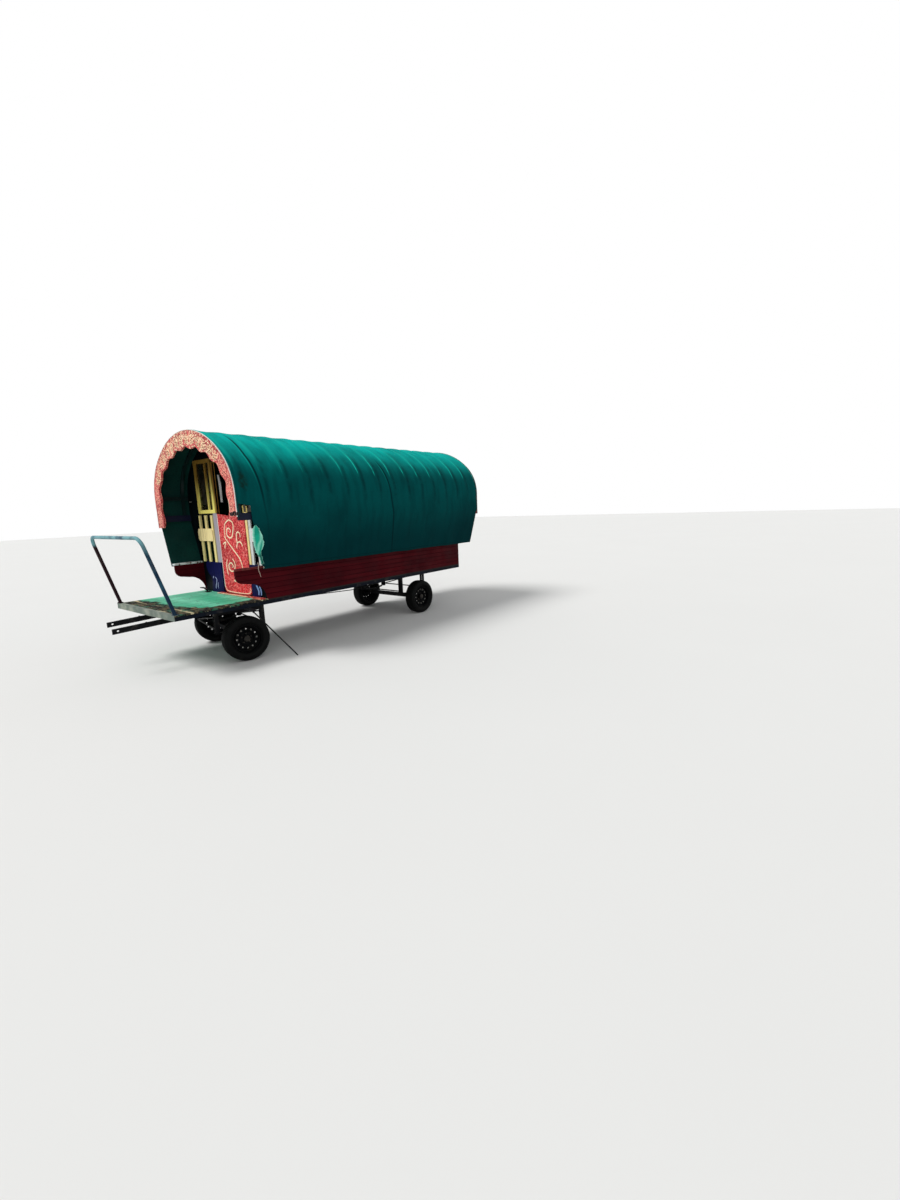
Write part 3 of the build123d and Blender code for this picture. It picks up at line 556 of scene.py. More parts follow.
@dataclass(frozen=True)
class WornSteel(Finish):
    """Painted or dusty steel, with rust where the paint has gone."""

    paint: Colour
    lit: Colour
    rust: Colour
    wear: float = 0.3
    roughness: float = 0.5
    change_z: float = 0.0
    above: Colour = NO_COLOUR
    far_x: float = 0.0
    far_z: float = 0.0
    far: Colour = NO_COLOUR
    dusty: float = 0.35
    gloss: float = 0.14

    def make(self) -> bpy.types.Material:
        """Builds its nodes.

        Returns:
            The material.
        """
        r = Recipe(self.name)
        base: object = self.paint
        if self.change_z > 0:
            wavy = r.times(r.less(r.cloud(9, 5), 0.5), 0.35)
            height = r.plus(r.axis("Z"), wavy)
            base = r.mix(r.level(height, self.change_z - 0.08, self.change_z + 0.10), base, self.above)
        colour = r.mix(r.level(r.cloud(6, 6), 0.42, 0.70), base, self.lit)
        if self.far_x != 0:
            beyond = r.level(r.axis("X"), self.far_x - 0.05, self.far_x + 0.05, 1.0, 0.0)
            under = r.level(r.axis("Z"), self.far_z - 0.03, self.far_z + 0.02, 1.0, 0.0)
            colour = r.mix(r.times(beyond, under), colour, self.far)
        rusty = r.level(r.cloud(24, 9, shift=5.0, rough=0.7), 0.70 - 0.16 * self.wear, 0.72)
        rust = r.mix(r.level(r.cloud(90, 4), 0.4, 0.6), self.rust, screen(52, 34, 24))
        colour = r.mix(rusty, colour, rust)
        dust = r.level(r.cloud(12, 6, shift=9.0), 0.52, 0.75, 0.0, self.dusty)
        colour = r.mix(dust, colour, screen(120, 112, 100))
        r.raise_by(r.cloud(150, 4), 0.0005, 0.4)
        r.raise_by(rusty, 0.0007, 0.6)
        shine = r.level(rusty, 0.0, 1.0, self.roughness, 0.9)
        return r.done(colour, shine, specular_ior_level=self.gloss)


@dataclass(frozen=True)
class TyreRubber(Finish):
    """Black tyre rubber with grey dust in its hollows."""

    black: Colour
    dust: Colour

    def make(self) -> bpy.types.Material:
        """Builds its nodes.

        Returns:
            The material.
        """
        r = Recipe(self.name)
        dusty = r.level(r.cloud(14, 7, rough=0.65), 0.42, 0.72, 0.0, 0.8)
        low = r.level(r.axis("Z"), 0.02, 0.16, 0.6, 0.1)
        colour = r.mix(r.times(dusty, low), self.black, self.dust)
        r.raise_by(r.cloud(220, 3), 0.0005, 0.5)
        r.raise_by(r.cells(120, edges=True), 0.0003, 0.3)
        return r.done(colour, r.level(dusty, 0.0, 0.8, 0.62, 0.88), specular_ior_level=0.07)


@dataclass(frozen=True)
class BareBoards(Finish):
    """Bare or stained boards, with knots."""

    light: Colour
    dark: Colour
    run: Run = Run.ALONG

    def make(self) -> bpy.types.Material:
        """Builds its nodes.

        Returns:
            The material.
        """
        r = Recipe(self.name)
        grain = r.cloud(38, 8, self.run, rough=0.6)
        colour = r.mix(r.level(grain, 0.36, 0.66), self.light, self.dark)
        knots = r.level(r.cells(5, self.run), 0.0, 0.09, 1.0, 0.0)
        colour = r.mix(r.times(knots, 0.8), colour, self.dark)
        colour = r.mix(r.level(r.cloud(3, 4), 0.4, 0.7, 0.0, 0.5), colour, self.dark)
        r.raise_by(grain, 0.0012, 0.6)
        return r.done(colour, 0.72, specular_ior_level=0.15)


@dataclass(frozen=True)
class Canvas(Finish):
    """Proofed cotton canvas: a plain weave, with painted light on its crest, its low sides and its
    bows.

    A cover's pattern is laid out on its UV map, and a loose corner's on its own attributes.
    """

    # crest is the painted lit colour of the top and low the painted shade of the low sides, with cloth
    # between.
    crest: Colour
    cloth: Colour
    low: Colour
    faded_and_highlight: Colour
    stain_and_shade: Colour
    width: float
    length: float
    bow_pitch: float = 0.0
    bow_start: float = 0.0
    seams: tuple[tuple[float, float, float], ...] = ()
    smudge: Flat = (3.505, 0.100)
    smudge_half: Flat = (0.12, 0.06)
    weave: float = 1500.0

    def make(self) -> bpy.types.Material:
        """Builds its nodes.

        Returns:
            The material.
        """
        r = Recipe(self.name, on_uv=True)
        height = self._attribute(r, "height")
        r.place = r.stretched((self.width, self.length, 1.0))
        uneven = r.times(r.less(r.cloud(1.6, 5, shift=6.0), 0.5), 0.22)
        height = r.plus(height, uneven)
        # Painted light: darker low on the sides and lighter towards the crest, by the height attribute.
        colour = r.mix(r.level(height, 0.05, 0.50), self.low, self.cloth)
        colour = r.mix(r.level(height, 0.47, 0.82), colour, self.crest)
        broad = r.cloud(1.3, 5, shift=2.0)
        colour = r.mix(r.level(broad, 0.46, 0.74, 0.0, 0.35), colour, self.stain_and_shade)
        streaks = r.level(r.cloud(7.0, 6.0, Run.STREAKS, 4.0), 0.46, 0.66)
        colour = r.mix(r.times(streaks, 0.22), colour, self.stain_and_shade)
        if self.bow_pitch > 0:
            colour = self._bow_highlights(r, colour)
            colour = self._seamed(r, colour)
        else:
            # A loose piece's ridge attribute marks where its painted highlights go.
            colour = r.mix(self._attribute(r, "ridge"), colour, self.faded_and_highlight)
        speck = r.level(r.cloud(55, 6, shift=9.0, rough=0.7), 0.66, 0.72, 0.0, 0.15)
        colour = r.mix(speck, colour, self.faded_and_highlight)
        warp = self._threads(r, "X", 0.0)
        weft = self._threads(r, "Y", math.pi / 2)
        threads = r.calc("MAXIMUM", warp, weft)
        colour = r.mix(r.level(threads, 0.2, 0.9, 0.22, 0.0), colour, self.stain_and_shade)
        r.raise_by(threads, 0.0006, 0.35)
        r.raise_by(r.cloud(2.6, 5.0, Run.CREASES, 1.0, warp=0.8), 0.012, 0.45)
        return r.done(colour, 0.85, sheen_weight=0.01, sheen_roughness=0.5, specular_ior_level=0.02)

    def _from_crest(self, r: Recipe) -> Socket:
        """Gives the distance from the crest, over the cloth."""
        return r.calc("ABSOLUTE", r.less(r.axis("X"), self.width / 2))

    def _bow_highlights(self, r: Recipe, colour: Socket) -> Socket:
        """Paints highlights in thin strokes on the bows' shoulders, and painted shade beside them.

        Args:
            r: The recipe.
            colour: The cloth's colour so far.

        Returns:
            The colour with the strokes.
        """
        far = self._from_crest(r)
        wander = r.times(r.less(r.cloud(2.2, 3, shift=8.0), 0.5), 0.05)
        along = r.plus(r.axis("Y"), wander)
        row = r.calc("DIVIDE", r.less(along, self.bow_start), self.bow_pitch)
        strong = r.level(r.chance(r.calc("ROUND", row)), 0.0, 1.0, 0.45, 1.0)
        behind = r.level(r.axis("Y"), 1.15, 1.65, 0.22, 1.0)
        strong = r.times(strong, behind)
        away = r.times(r.calc("PINGPONG", row, 0.5), self.bow_pitch)
        # Painted highlight: a thin stroke on each bow's shoulder, weaker towards the front.
        stroke = r.times(r.level(away, 0.004, 0.014, 1.0, 0.0), r.band(far, 0.91, 0.13, 0.12))
        broken = r.level(r.cloud(9, 5, shift=3.0), 0.36, 0.56, 0.35, 1.0)
        stroke = r.times(r.times(stroke, strong), broken)
        # Painted highlight along each bow towards the crest.
        crest = r.times(r.level(away, 0.0, 0.055, 0.30, 0.0), r.level(far, 0.75, 1.10, 1.0, 0.0))
        # Painted shade in a soft band just behind each bow, lower down the sides.
        beside = r.less(row, 0.20)
        shaded = r.times(r.calc("PINGPONG", beside, 0.5), self.bow_pitch)
        dark = r.times(r.level(shaded, 0.0, 0.055, 0.50, 0.0), r.band(far, 1.16, 0.16, 0.24))
        dark = r.times(dark, broken)
        colour = r.mix(dark, colour, self.stain_and_shade)
        return r.mix(r.calc("MAXIMUM", stroke, crest), colour, self.faded_and_highlight)

    def _seamed(self, r: Recipe, colour: Socket) -> Socket:
        """Draws the dark seams, each with a pale line beside it, and the hem's stitching.

        Args:
            r: The recipe.
            colour: The cloth's colour so far.

        Returns:
            The colour with the seams.
        """
        far = self._from_crest(r)
        lean = r.times(r.calc("MAXIMUM", r.less(far, 0.9), 0.0), 0.12)
        for place, start, end in self.seams:
            off = r.less(r.less(r.axis("Y"), lean), place)
            begun = r.level(far, start - 0.2, start + 0.1)
            here = r.times(begun, r.level(far, end - 0.3, end, 1.0, 0.3))
            line = r.times(r.band(off, 0.0, 0.007, 0.009), here)
            colour = r.mix(r.times(line, 0.88), colour, self.stain_and_shade)
            weaker = r.level(far, 0.95, 1.35, 0.25, 0.0)
            pale = r.times(r.band(off, -0.022, 0.004, 0.006), weaker)
            colour = r.mix(r.times(pale, here), colour, self.faded_and_highlight)
        away: Value = 0.0
        for name, middle, half in zip("XY", self.smudge, self.smudge_half):
            share = r.calc("DIVIDE", r.less(r.axis(name), middle), half)
            away = r.plus(r.calc("POWER", share, 2.0), away)
        spot = r.times(r.level(away, 0.1, 1.3, 0.8, 0.0), r.level(r.cloud(14, 6), 0.35, 0.6))
        colour = r.mix(spot, colour, screen(18, 34, 22))
        hem = r.band(far, self.width / 2 - 0.036, 0.004, 0.004)
        return r.mix(r.times(hem, 0.7), colour, self.stain_and_shade)

    def _attribute(self, r: Recipe, name: str) -> Socket:
        """Gives a value that the cloth's mesh holds for each of its points.

        Args:
            r: The recipe.
            name: Name of the mesh's attribute.

        Returns:
            The value's socket.
        """
        source = r.node("ShaderNodeAttribute")
        source.attribute_name = name
        return source.outputs["Fac"]

    def _threads(self, r: Recipe, axis: str, phase: float) -> Socket:
        """Gives the rounded tops of the threads that lie across one axis."""
        turn = r.plus(r.times(r.axis(axis), self.weave), phase)
        return r.calc("ABSOLUTE", r.calc("SINE", turn))


@dataclass(frozen=True)
class BrushedPaint(Finish):
    """Thick paint of one brush stroke."""

    paint: Colour
    shadow: Colour

    def make(self) -> bpy.types.Material:
        """Builds its nodes.

        Returns:
            The material.
        """
        r = Recipe(self.name)
        bristles = r.cloud(120, 5)
        colour = r.mix(r.level(bristles, 0.42, 0.68), self.paint, self.shadow)
        r.raise_by(bristles, 0.0006, 0.5)
        return r.done(colour, r.level(bristles, 0.3, 0.7, 0.45, 0.65), specular_ior_level=0.2)


@dataclass(frozen=True)
class DustyGlass(Finish):
    """Window glass with dust on it."""

    tint: Colour

    def make(self) -> bpy.types.Material:
        """Builds its nodes.

        Returns:
            The material.
        """
        r = Recipe(self.name)
        smear = r.level(r.cloud(9, 6), 0.4, 0.75, 0.26, 0.42)
        colour = r.mix(r.level(r.cloud(5, 4), 0.3, 0.8, 0.0, 0.2), self.tint, screen(120, 116, 100))
        return r.done(colour, smear, transmission_weight=0.92, ior=1.45, specular_ior_level=0.1)


@dataclass(frozen=True)
class Lace(Finish):
    """Net curtain: a fine open mesh of pale thread."""

    thread: Colour
    fold: Colour

    def make(self) -> bpy.types.Material:
        """Builds its nodes.

        Returns:
            The material.
        """
        r = Recipe(self.name)
        net = r.level(r.cells(240, edges=True), 0.05, 0.25, 0.0, 1.0)
        colour = r.mix(net, self.thread, self.fold)
        # Painted shade: vertical streaks of the grey fold colour stand for the shade in the folds.
        colour = r.mix(r.level(r.cloud(8, 4, Run.UP), 0.4, 0.7, 0.0, 0.5), colour, self.fold)
        r.raise_by(net, 0.0008, 0.5)
        return r.done(colour, 0.85, sheen_weight=0.1, specular_ior_level=0.1)


# Finishes of the wagon's pieces
TEAL_CANVAS = Canvas(
    "teal_canvas",
    # Painted light: lit crest, cloth and shaded low side, then the highlight and faded colour, then the
    # stain and shade colour.
    screen(0, 178, 168),
    screen(0, 80, 80),
    screen(0, 50, 53),
    screen(26, 206, 184),
    screen(0, 34, 38),
    width=4.53,
    length=4.51,
    bow_pitch=0.2981,
    bow_start=0.031,
    seams=((0.252, 0.55, 1.60), (2.312, 0.95, 2.40)),
)
LOOSE_CANVAS = Canvas(
    "loose_canvas",
    # Painted light as on the cover: lit crest, cloth, shaded low side, highlight, then stain and shade.
    screen(34, 176, 146),
    screen(22, 150, 124),
    screen(8, 92, 84),
    screen(168, 244, 220),
    screen(2, 64, 60),
    width=0.4,
    length=0.4,
)
BINDING = replace(
    TEAL_CANVAS,
    name="canvas_binding",
    width=0.02,
    length=4.0,
    bow_pitch=0.0,
    bow_start=0.0,
    seams=(),
)
CANVAS_LINING = PaintedWood(
    "canvas_lining",
    screen(8, 58, 52),
    screen(2, 30, 32),
    screen(20, 70, 62),
    Run.ACROSS,
    chips=0.0,
    grain=60.0,
    roughness=0.85,
)
BOARDS_LOW_Z = 0.715
BOARDS_TALL = 0.385
BOARDS = 6
BOARD_PITCH = BOARDS_TALL / BOARDS
# Maroon paint, darkened part way as painted shade.
MAROON_BOARDS = PaintedWood(
    "maroon_boards",
    screen(74, 5, 15),
    screen(40, 2, 8),
    screen(86, 50, 44),
    chips=0.02,
    gloss=0.05,
    seam_pitch=BOARD_PITCH,
    seam_start=BOARDS_LOW_Z,
)
CROWN_PAINT = MottledPaint(
    "crown_paint",
    screen(228, 104, 100),
    screen(118, 20, 30),
    screen(254, 226, 190),
    speckle=0.95,
    creamy_above=2.72,
    swirl_scale=20.0,
)
DOOR_PAINT = MottledPaint(
    "door_paint", screen(240, 44, 54), screen(112, 6, 20), screen(255, 160, 150), 0.55
)
THRESHOLD_PAINT = MottledPaint(
    "threshold_paint", screen(196, 44, 44), screen(100, 18, 22), screen(240, 180, 150), 0.5
)
WINDOW_PAINT = SplitPaint(
    "window_paint",
    screen(255, 240, 128),
    screen(50, 46, 38),
    screen(170, 130, 44),
    screen(140, 112, 70),
    meet=0.40,
    # Painted shade: brown over the upper part of the yellow frames.
    shade_above=screen(124, 94, 36),
    shade_low=1.82,
    shade_high=2.26,
)
PICKET_PAINT = SplitPaint(
    "picket_paint",
    screen(240, 220, 150),
    screen(222, 224, 222),
    screen(116, 90, 54),
    screen(96, 72, 48),
    meet=0.40,
    block=screen(252, 230, 168),
    block_low=1.40,
    block_high=1.565,
)
POST_PAINT = SplitPaint(
    "post_paint",
    screen(168, 160, 170),
    screen(250, 222, 152),
    screen(104, 80, 70),
    screen(232, 226, 226),
    meet=0.1,
)
REAR_WINDOW_PAINT = PaintedWood(
    "rear_window_paint", screen(238, 208, 66), screen(178, 132, 24), screen(120, 92, 60), Run.UP
)
CREAM_PAINT = BrushedPaint("cream_paint", screen(255, 242, 210), screen(244, 214, 166))
GOLD_PAINT = BrushedPaint("gold_paint", screen(255, 234, 192), screen(236, 190, 136))
PINK_PAINT = BrushedPaint("pink_paint", screen(250, 180, 156), screen(226, 124, 112))
WHITE_EDGE = BrushedPaint("white_edge", screen(246, 242, 234), screen(206, 200, 196))
YELLOW_STUB = BrushedPaint("yellow_stub", screen(226, 206, 120), screen(150, 130, 70))
PALE_BLUE = BrushedPaint("pale_blue_paint", screen(140, 170, 214), screen(62, 92, 160))
PALE_LINE = BrushedPaint("pale_line_paint", screen(186, 194, 228), screen(120, 130, 180))
NAVY_PAINT = PaintedWood(
    "navy_paint", screen(14, 18, 70), screen(6, 8, 34), screen(58, 62, 98), Run.UP, 0.10, gloss=0.05
)
WAIST_PAINT = PaintedWood(
    "waist_paint", screen(20, 24, 48), screen(7, 9, 22), screen(48, 50, 62), chips=0.05
)
LEDGE_PAINT = PeelingLedge(
    "ledge_paint", screen(214, 220, 222), screen(86, 122, 168), screen(104, 90, 78), screen(96, 14, 22)
)
DARK_LINING = PaintedWood(
    "dark_lining", screen(4, 62, 48), screen(2, 32, 28), screen(30, 56, 44), chips=0.05
)
# Dark paint, made near black as painted shade inside the porch.
WALL_LINING = PaintedWood(
    "wall_lining", screen(5, 12, 16), screen(2, 5, 8), screen(24, 24, 22), Run.UP, 0.05, gloss=0.04
)
REAR_BOARDS = PaintedWood(
    "rear_wall_boards",
    screen(10, 84, 70),
    screen(3, 40, 36),
    screen(48, 66, 54),
    chips=0.12,
    seam_pitch=0.112,
    seam_start=1.10,
    gloss=0.08,
)
DOOR_FRAME = BareBoards("door_frame_wood", screen(196, 150, 70), screen(104, 66, 26), Run.UP)
GREEN_DECK = WornDeck(
    "green_deck",
    screen(76, 184, 144),
    screen(118, 212, 176),
    screen(92, 82, 62),
    screen(84, 94, 54),
    front_y=-2.19,
    near_x=0.61,
)
FLOOR_WOOD = BareBoards("floor_wood", screen(44, 36, 32), screen(22, 18, 18))
BOW_WOOD = PaintedWood(
    "bow_paint", screen(12, 36, 36), screen(4, 16, 18), screen(54, 50, 40), Run.ACROSS, 0.1
)
RAIL_STEEL = WornSteel(
    "rail_steel",
    screen(14, 42, 64),
    screen(40, 84, 104),
    screen(70, 48, 40),
    wear=0.15,
    roughness=0.45,
    change_z=1.40,
    above=screen(112, 162, 168),
    far_x=-0.4,
    far_z=1.44,
    far=screen(34, 14, 20),
    dusty=0.15,
    gloss=0.10,
)
EDGE_STEEL = WornSteel(
    "edge_steel", screen(104, 116, 108), screen(150, 156, 142), screen(78, 92, 58), 0.9, 0.65
)
NAVY_STEEL = WornSteel(
    "navy_steel",
    screen(6, 12, 22),
    screen(12, 20, 32),
    screen(34, 28, 26),
    wear=0.2,
    roughness=0.55,
    dusty=0.12,
    gloss=0.07,
)
BLACK_STEEL = WornSteel(
    "black_steel",
    screen(9, 10, 13),
    screen(17, 18, 21),
    screen(42, 30, 24),
    wear=0.2,
    roughness=0.55,
    dusty=0.15,
    gloss=0.09,
)
GREASY_STEEL = WornSteel(
    "greasy_steel", screen(22, 20, 19), screen(46, 43, 38), screen(56, 38, 28), 0.2, 0.3
)
RIM_STEEL = WornSteel(
    "rim_steel",
    screen(3, 4, 5),
    screen(8, 9, 11),
    screen(26, 20, 16),
    wear=0.1,
    roughness=0.5,
    dusty=0.05,
    gloss=0.04,
)
NUT_STEEL = WornSteel(
    "nut_steel", screen(110, 108, 104), screen(150, 148, 142), screen(96, 62, 40), 0.6, 0.4
)
VENT_EDGE = WornSteel(
    "vent_edge", screen(150, 148, 140), screen(196, 192, 182), screen(60, 52, 46), 0.6, 0.5
)
RUBBER = TyreRubber("tyre_rubber", screen(9, 10, 10), screen(38, 37, 35))
GLASS = DustyGlass("window_glass", screen(70, 62, 44))
CURTAIN = Lace("curtain_lace", screen(226, 224, 220), screen(150, 148, 154))
RED_LINE = BrushedPaint("dark_red_line", screen(122, 22, 30), screen(78, 10, 18))
BLACK_WEBBING = BrushedPaint("black_webbing", screen(14, 14, 16), screen(40, 38, 38))
FRAYED_TIE = BrushedPaint("frayed_tie", screen(206, 188, 172), screen(140, 118, 106))


def add_object(name: str, data: bpy.types.ID) -> bpy.types.Object:
    """Makes an object and puts it in the scene.

    Args:
        name: Name of the object.
        data: Its mesh, curve, lamp or camera.

    Returns:
        The object.
    """
    made = bpy.data.objects.new(name, data)
    bpy.context.scene.collection.objects.link(made)
    return made


class Workpiece:
    """A new piece while it is being shaped with bmesh operators."""

    def __init__(self) -> None:
        """Starts with nothing on the bench."""
        self.bm = bmesh.new()

    def block(self, low: Point, high: Point, bevel: float = 0.0) -> None:
        """Adds a block between two corners.

        Args:
            low: Its lowest corner.
            high: Its highest corner.
            bevel: Radius of its rounded edges.
        """
        middle, size = (Vector(low) + Vector(high)) / 2, Vector(high) - Vector(low)
        matrix = Matrix.Translation(middle) @ Matrix.Diagonal((*size, 1.0))
        made = bmesh.ops.create_cube(self.bm, size=1.0, matrix=matrix)
        if bevel > 0:
            bmesh.ops.bevel(
                self.bm,
                geom=list({e for v in made["verts"] for e in v.link_edges}),
                offset=bevel,
                segments=2,
                profile=0.5,
                affect="EDGES",
                material=-1,
            )

    def rod(self, start: Point, end: Point, radius: float, sides: int = 12, tip: float = -1.0) -> None:
        """Adds a round or many-sided bar between two points.

        Args:
            start: Middle of its first end.
            end: Middle of its tip.
            radius: Its radius.
            sides: How many sides it has.
            tip: Radius at its tip, or below 0 for the same.
        """
        a, b = Vector(start), Vector(end)
        turn = (b - a).to_track_quat("Z", "Y").to_matrix().to_4x4()
        bmesh.ops.create_cone(
            self.bm,
            cap_ends=True,
            cap_tris=False,
            segments=sides,
            radius1=radius,
            radius2=radius if tip < 0 else tip,
            depth=(b - a).length,
            matrix=Matrix.Translation((a + b) / 2) @ turn,
        )

    def ball(self, centre: Point, radii: Point, rings: int = 8) -> None:
        """Adds a ball or an egg.

        Args:
            centre: Its centre.
            radii: Its half sizes.
            rings: How finely it is divided.
        """
        matrix = Matrix.Translation(centre) @ Matrix.Diagonal((*radii, 1.0))
        bmesh.ops.create_uvsphere(
            self.bm, u_segments=2 * rings, v_segments=rings, radius=1.0, matrix=matrix
        )

    def turned(self, profile: Sequence[Flat], seat: Matrix, steps: int) -> list[bmesh.types.BMFace]:
        """Spins a closed profile round the X axis of a seat.

        Args:
            profile: Place along the axis and radius of each corner, in order round the profile.
            seat: Where the axis starts, with the X axis along it.
            steps: Steps of a full turn.

        Returns:
            The new faces.
        """
        verts = [self.bm.verts.new((x, 0.0, r)) for x, r in profile]
        edges = [self.bm.edges.new((verts[i - 1], verts[i])) for i in range(len(verts))]
        before = set(self.bm.faces)
        bmesh.ops.spin(
            self.bm,
            geom=verts + edges,
            cent=(0, 0, 0),
            axis=(1, 0, 0),
            angle=2 * math.pi,
            steps=steps,
            use_merge=True,
        )
        faces = [f for f in self.bm.faces if f not in before]
        ring = list({v for f in faces for v in f.verts})
        bmesh.ops.transform(self.bm, matrix=seat, verts=ring)
        bmesh.ops.recalc_face_normals(self.bm, faces=faces)
        return faces

    def grid(
        self, across: int, along: int, lay: Callable[[float, float], Point]
    ) -> dict[bmesh.types.BMVert, Flat]:
        """Adds a grid and lays it on a surface.

        Args:
            across: Squares across it.
            along: Squares along it.
            lay: Gives the place of a point from its share across and its share along.

        Returns:
            The grid's points, each with its shares.
        """
        uv = self.bm.loops.layers.uv.verify()
        made = bmesh.ops.create_grid(
            self.bm, x_segments=across, y_segments=along, size=0.5, calc_uvs=False
        )
        shares = {v: (v.co.x + 0.5, v.co.y + 0.5) for v in made["verts"]}
        for face in {f for v in made["verts"] for f in v.link_faces}:
            for loop in face.loops:
                loop[uv].uv = shares[loop.vert]
        for vert, (u, v) in shares.items():
            vert.co = lay(u, v)
        return shares

    def sweep(self, strokes: Sequence[tuple[Sequence[Point], float]], flatten: Matrix) -> None:
        """Adds brush strokes: tapered bars that follow lines of points, then pressed flat.

        Args:
            strokes: Lines of points, each with the half width of its stroke.
            flatten: What presses them onto their surface.
        """
        curve = bpy.data.curves.new("stroke", "CURVE")
        curve.dimensions = "3D"
        curve.bevel_depth = 1.0
        curve.bevel_resolution = 1
        curve.use_fill_caps = True
        for points, half in strokes:
            line = curve.splines.new("POLY")
            line.points.add(len(points) - 1)
            for number, point in enumerate(points):
                share = number / (len(points) - 1)
                swell = math.sin(math.pi * (0.12 + 0.72 * share))
                line.points[number].co = (*point, 1.0)
                line.points[number].radius = half * (0.35 + 0.65 * swell)
        holder = add_object("stroke", curve)
        mesh = bpy.data.meshes.new_from_object(holder)
        mesh.transform(flatten)
        self.bm.from_mesh(mesh)
        bpy.data.objects.remove(holder)
        bpy.data.meshes.remove(mesh)
        bpy.data.curves.remove(curve)

    def paint_on_wall(
        self, y: float, lines: Sequence[tuple[Sequence[Flat], float]], rise: float = 0.22
    ) -> None:
        """Paints brush strokes on a wall that stands across the wagon.

        Args:
            y: Where the wall's face is.
            lines: Lines of points on it, by X and Z, each with its half width.
            rise: How far a stroke stands out, as a share of its half width.
        """
        press = Matrix.Diagonal((1, rise, 1, 1))
        press = Matrix.Translation((0, y, 0)) @ press @ Matrix.Translation((0, -y, 0))
        self.sweep([([(x, y, z) for x, z in line], half) for line, half in lines], press)

    def face_out(self) -> None:
        """Turns all faces outwards."""
        bmesh.ops.recalc_face_normals(self.bm, faces=self.bm.faces)

    def finished(
        self,
        name: str,
        body: str,
        finish: Finish,
        sharp: float = 35.0,
        replaces: Sequence[str] = (),
    ) -> bpy.types.Object:
        """Makes the object, gives it its finish and puts it on its body.

        Args:
            name: Name of the piece.
            body: Body that it rides on.
            finish: Its finish.
            sharp: Edges sharper than this angle, in degrees, stay sharp.
            replaces: CAD nodes that it stands for.

        Returns:
            The new object.
        """
        mesh = bpy.data.meshes.new(name)
        self.bm.to_mesh(mesh)
        self.bm.free()
        made = add_object(name, mesh)
        mesh.materials.append(finish.material())
        mesh.polygons.foreach_set("use_smooth", [True] * len(mesh.polygons))
        mesh.set_sharp_from_angle(angle=math.radians(sharp))
        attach(made, body)
        if replaces:
            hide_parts(*replaces)
        log.info("%s: %d faces, on %s", name, len(mesh.polygons), body)
        return made


def thicken(piece: bpy.types.Object, thickness: float, offset: float = -1.0) -> bpy.types.Modifier:
    """Gives a sheet its thickness.

    Args:
        piece: The sheet.
        thickness: How thick it is.
        offset: -1 for all of it under the sheet's face, 0 for half on each side.

    Returns:
        The modifier that does it.
    """
    thick = piece.modifiers.new("thickness", "SOLIDIFY")
    thick.thickness = thickness
    thick.offset = offset
    return thick


def dress(finish: Finish, *nodes: str) -> None:
    """Gives CAD nodes a finish.

    Args:
        finish: The finish.
        *nodes: Names of the nodes.
    """
    for name in nodes:
        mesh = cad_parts[name].data
        mesh.materials.clear()
        mesh.materials.append(finish.material())
        log.info("%s: %s", name, finish.name)


def spiral(
    centre: Flat,
    radius: float,
    start: float,
    turns: float,
    hand: int = 1,
    inner: float = 0.18,
) -> list[Flat]:
    """Gives the points of a flat spiral that curls in to its centre.

    Args:
        centre: Its centre.
        radius: Its first radius.
        start: Angle of its first point, in degrees.
        turns: How many turns it makes.
        hand: 1 to turn left, -1 to turn right.
        inner: Last radius as a share of the first.

    Returns:
        The points, from outside in.
    """
    count = max(8, int(16 * turns))
    points = []
    for number in range(count + 1):
        share = number / count
        angle = math.radians(start) + hand * 2 * math.pi * turns * share
        reach = radius * (1 - (1 - inner) * share)
        points.append((centre[0] + reach * math.cos(angle), centre[1] + reach * math.sin(angle)))
    return points


def bend(start: Flat, pull: Flat, end: Flat, count: int = 9) -> list[Flat]:
    """Gives the points of a curved line.

    Args:
        start: Its first point.
        pull: What its middle is drawn towards.
        end: Its last point.
        count: How many steps it takes.

    Returns:
        The points.
    """
    points = []
    for number in range(count + 1):
        t = number / count
        a, b, c = (1 - t) ** 2, 2 * t * (1 - t), t * t
        x, z = (a * start[n] + b * pull[n] + c * end[n] for n in (0, 1))
        points.append((x, z))
    return points


def through(points: Sequence[Flat], steps: int = 5) -> list[Flat]:
    """Gives a smooth line through a few points, as a brush would draw it.

    Args:
        points: Points that it passes through.
        steps: How many steps it takes between two of them.

    Returns:
        The line's points.
    """
    ends = [points[0], *points, points[-1]]
    line = [points[0]]
    for number in range(1, len(ends) - 2):
        p0, p1, p2, p3 = (Vector(p) for p in ends[number - 1 : number + 3])
        for step in range(1, steps + 1):
            t = step / steps
            spot = p1 * 2 + (p2 - p0) * t + (p0 * 2 - p1 * 5 + p2 * 4 - p3) * t**2
            spot = (spot + (p1 * 3 - p0 - p2 * 3 + p3) * t**3) / 2
            line.append((spot.x, spot.y))
    return line


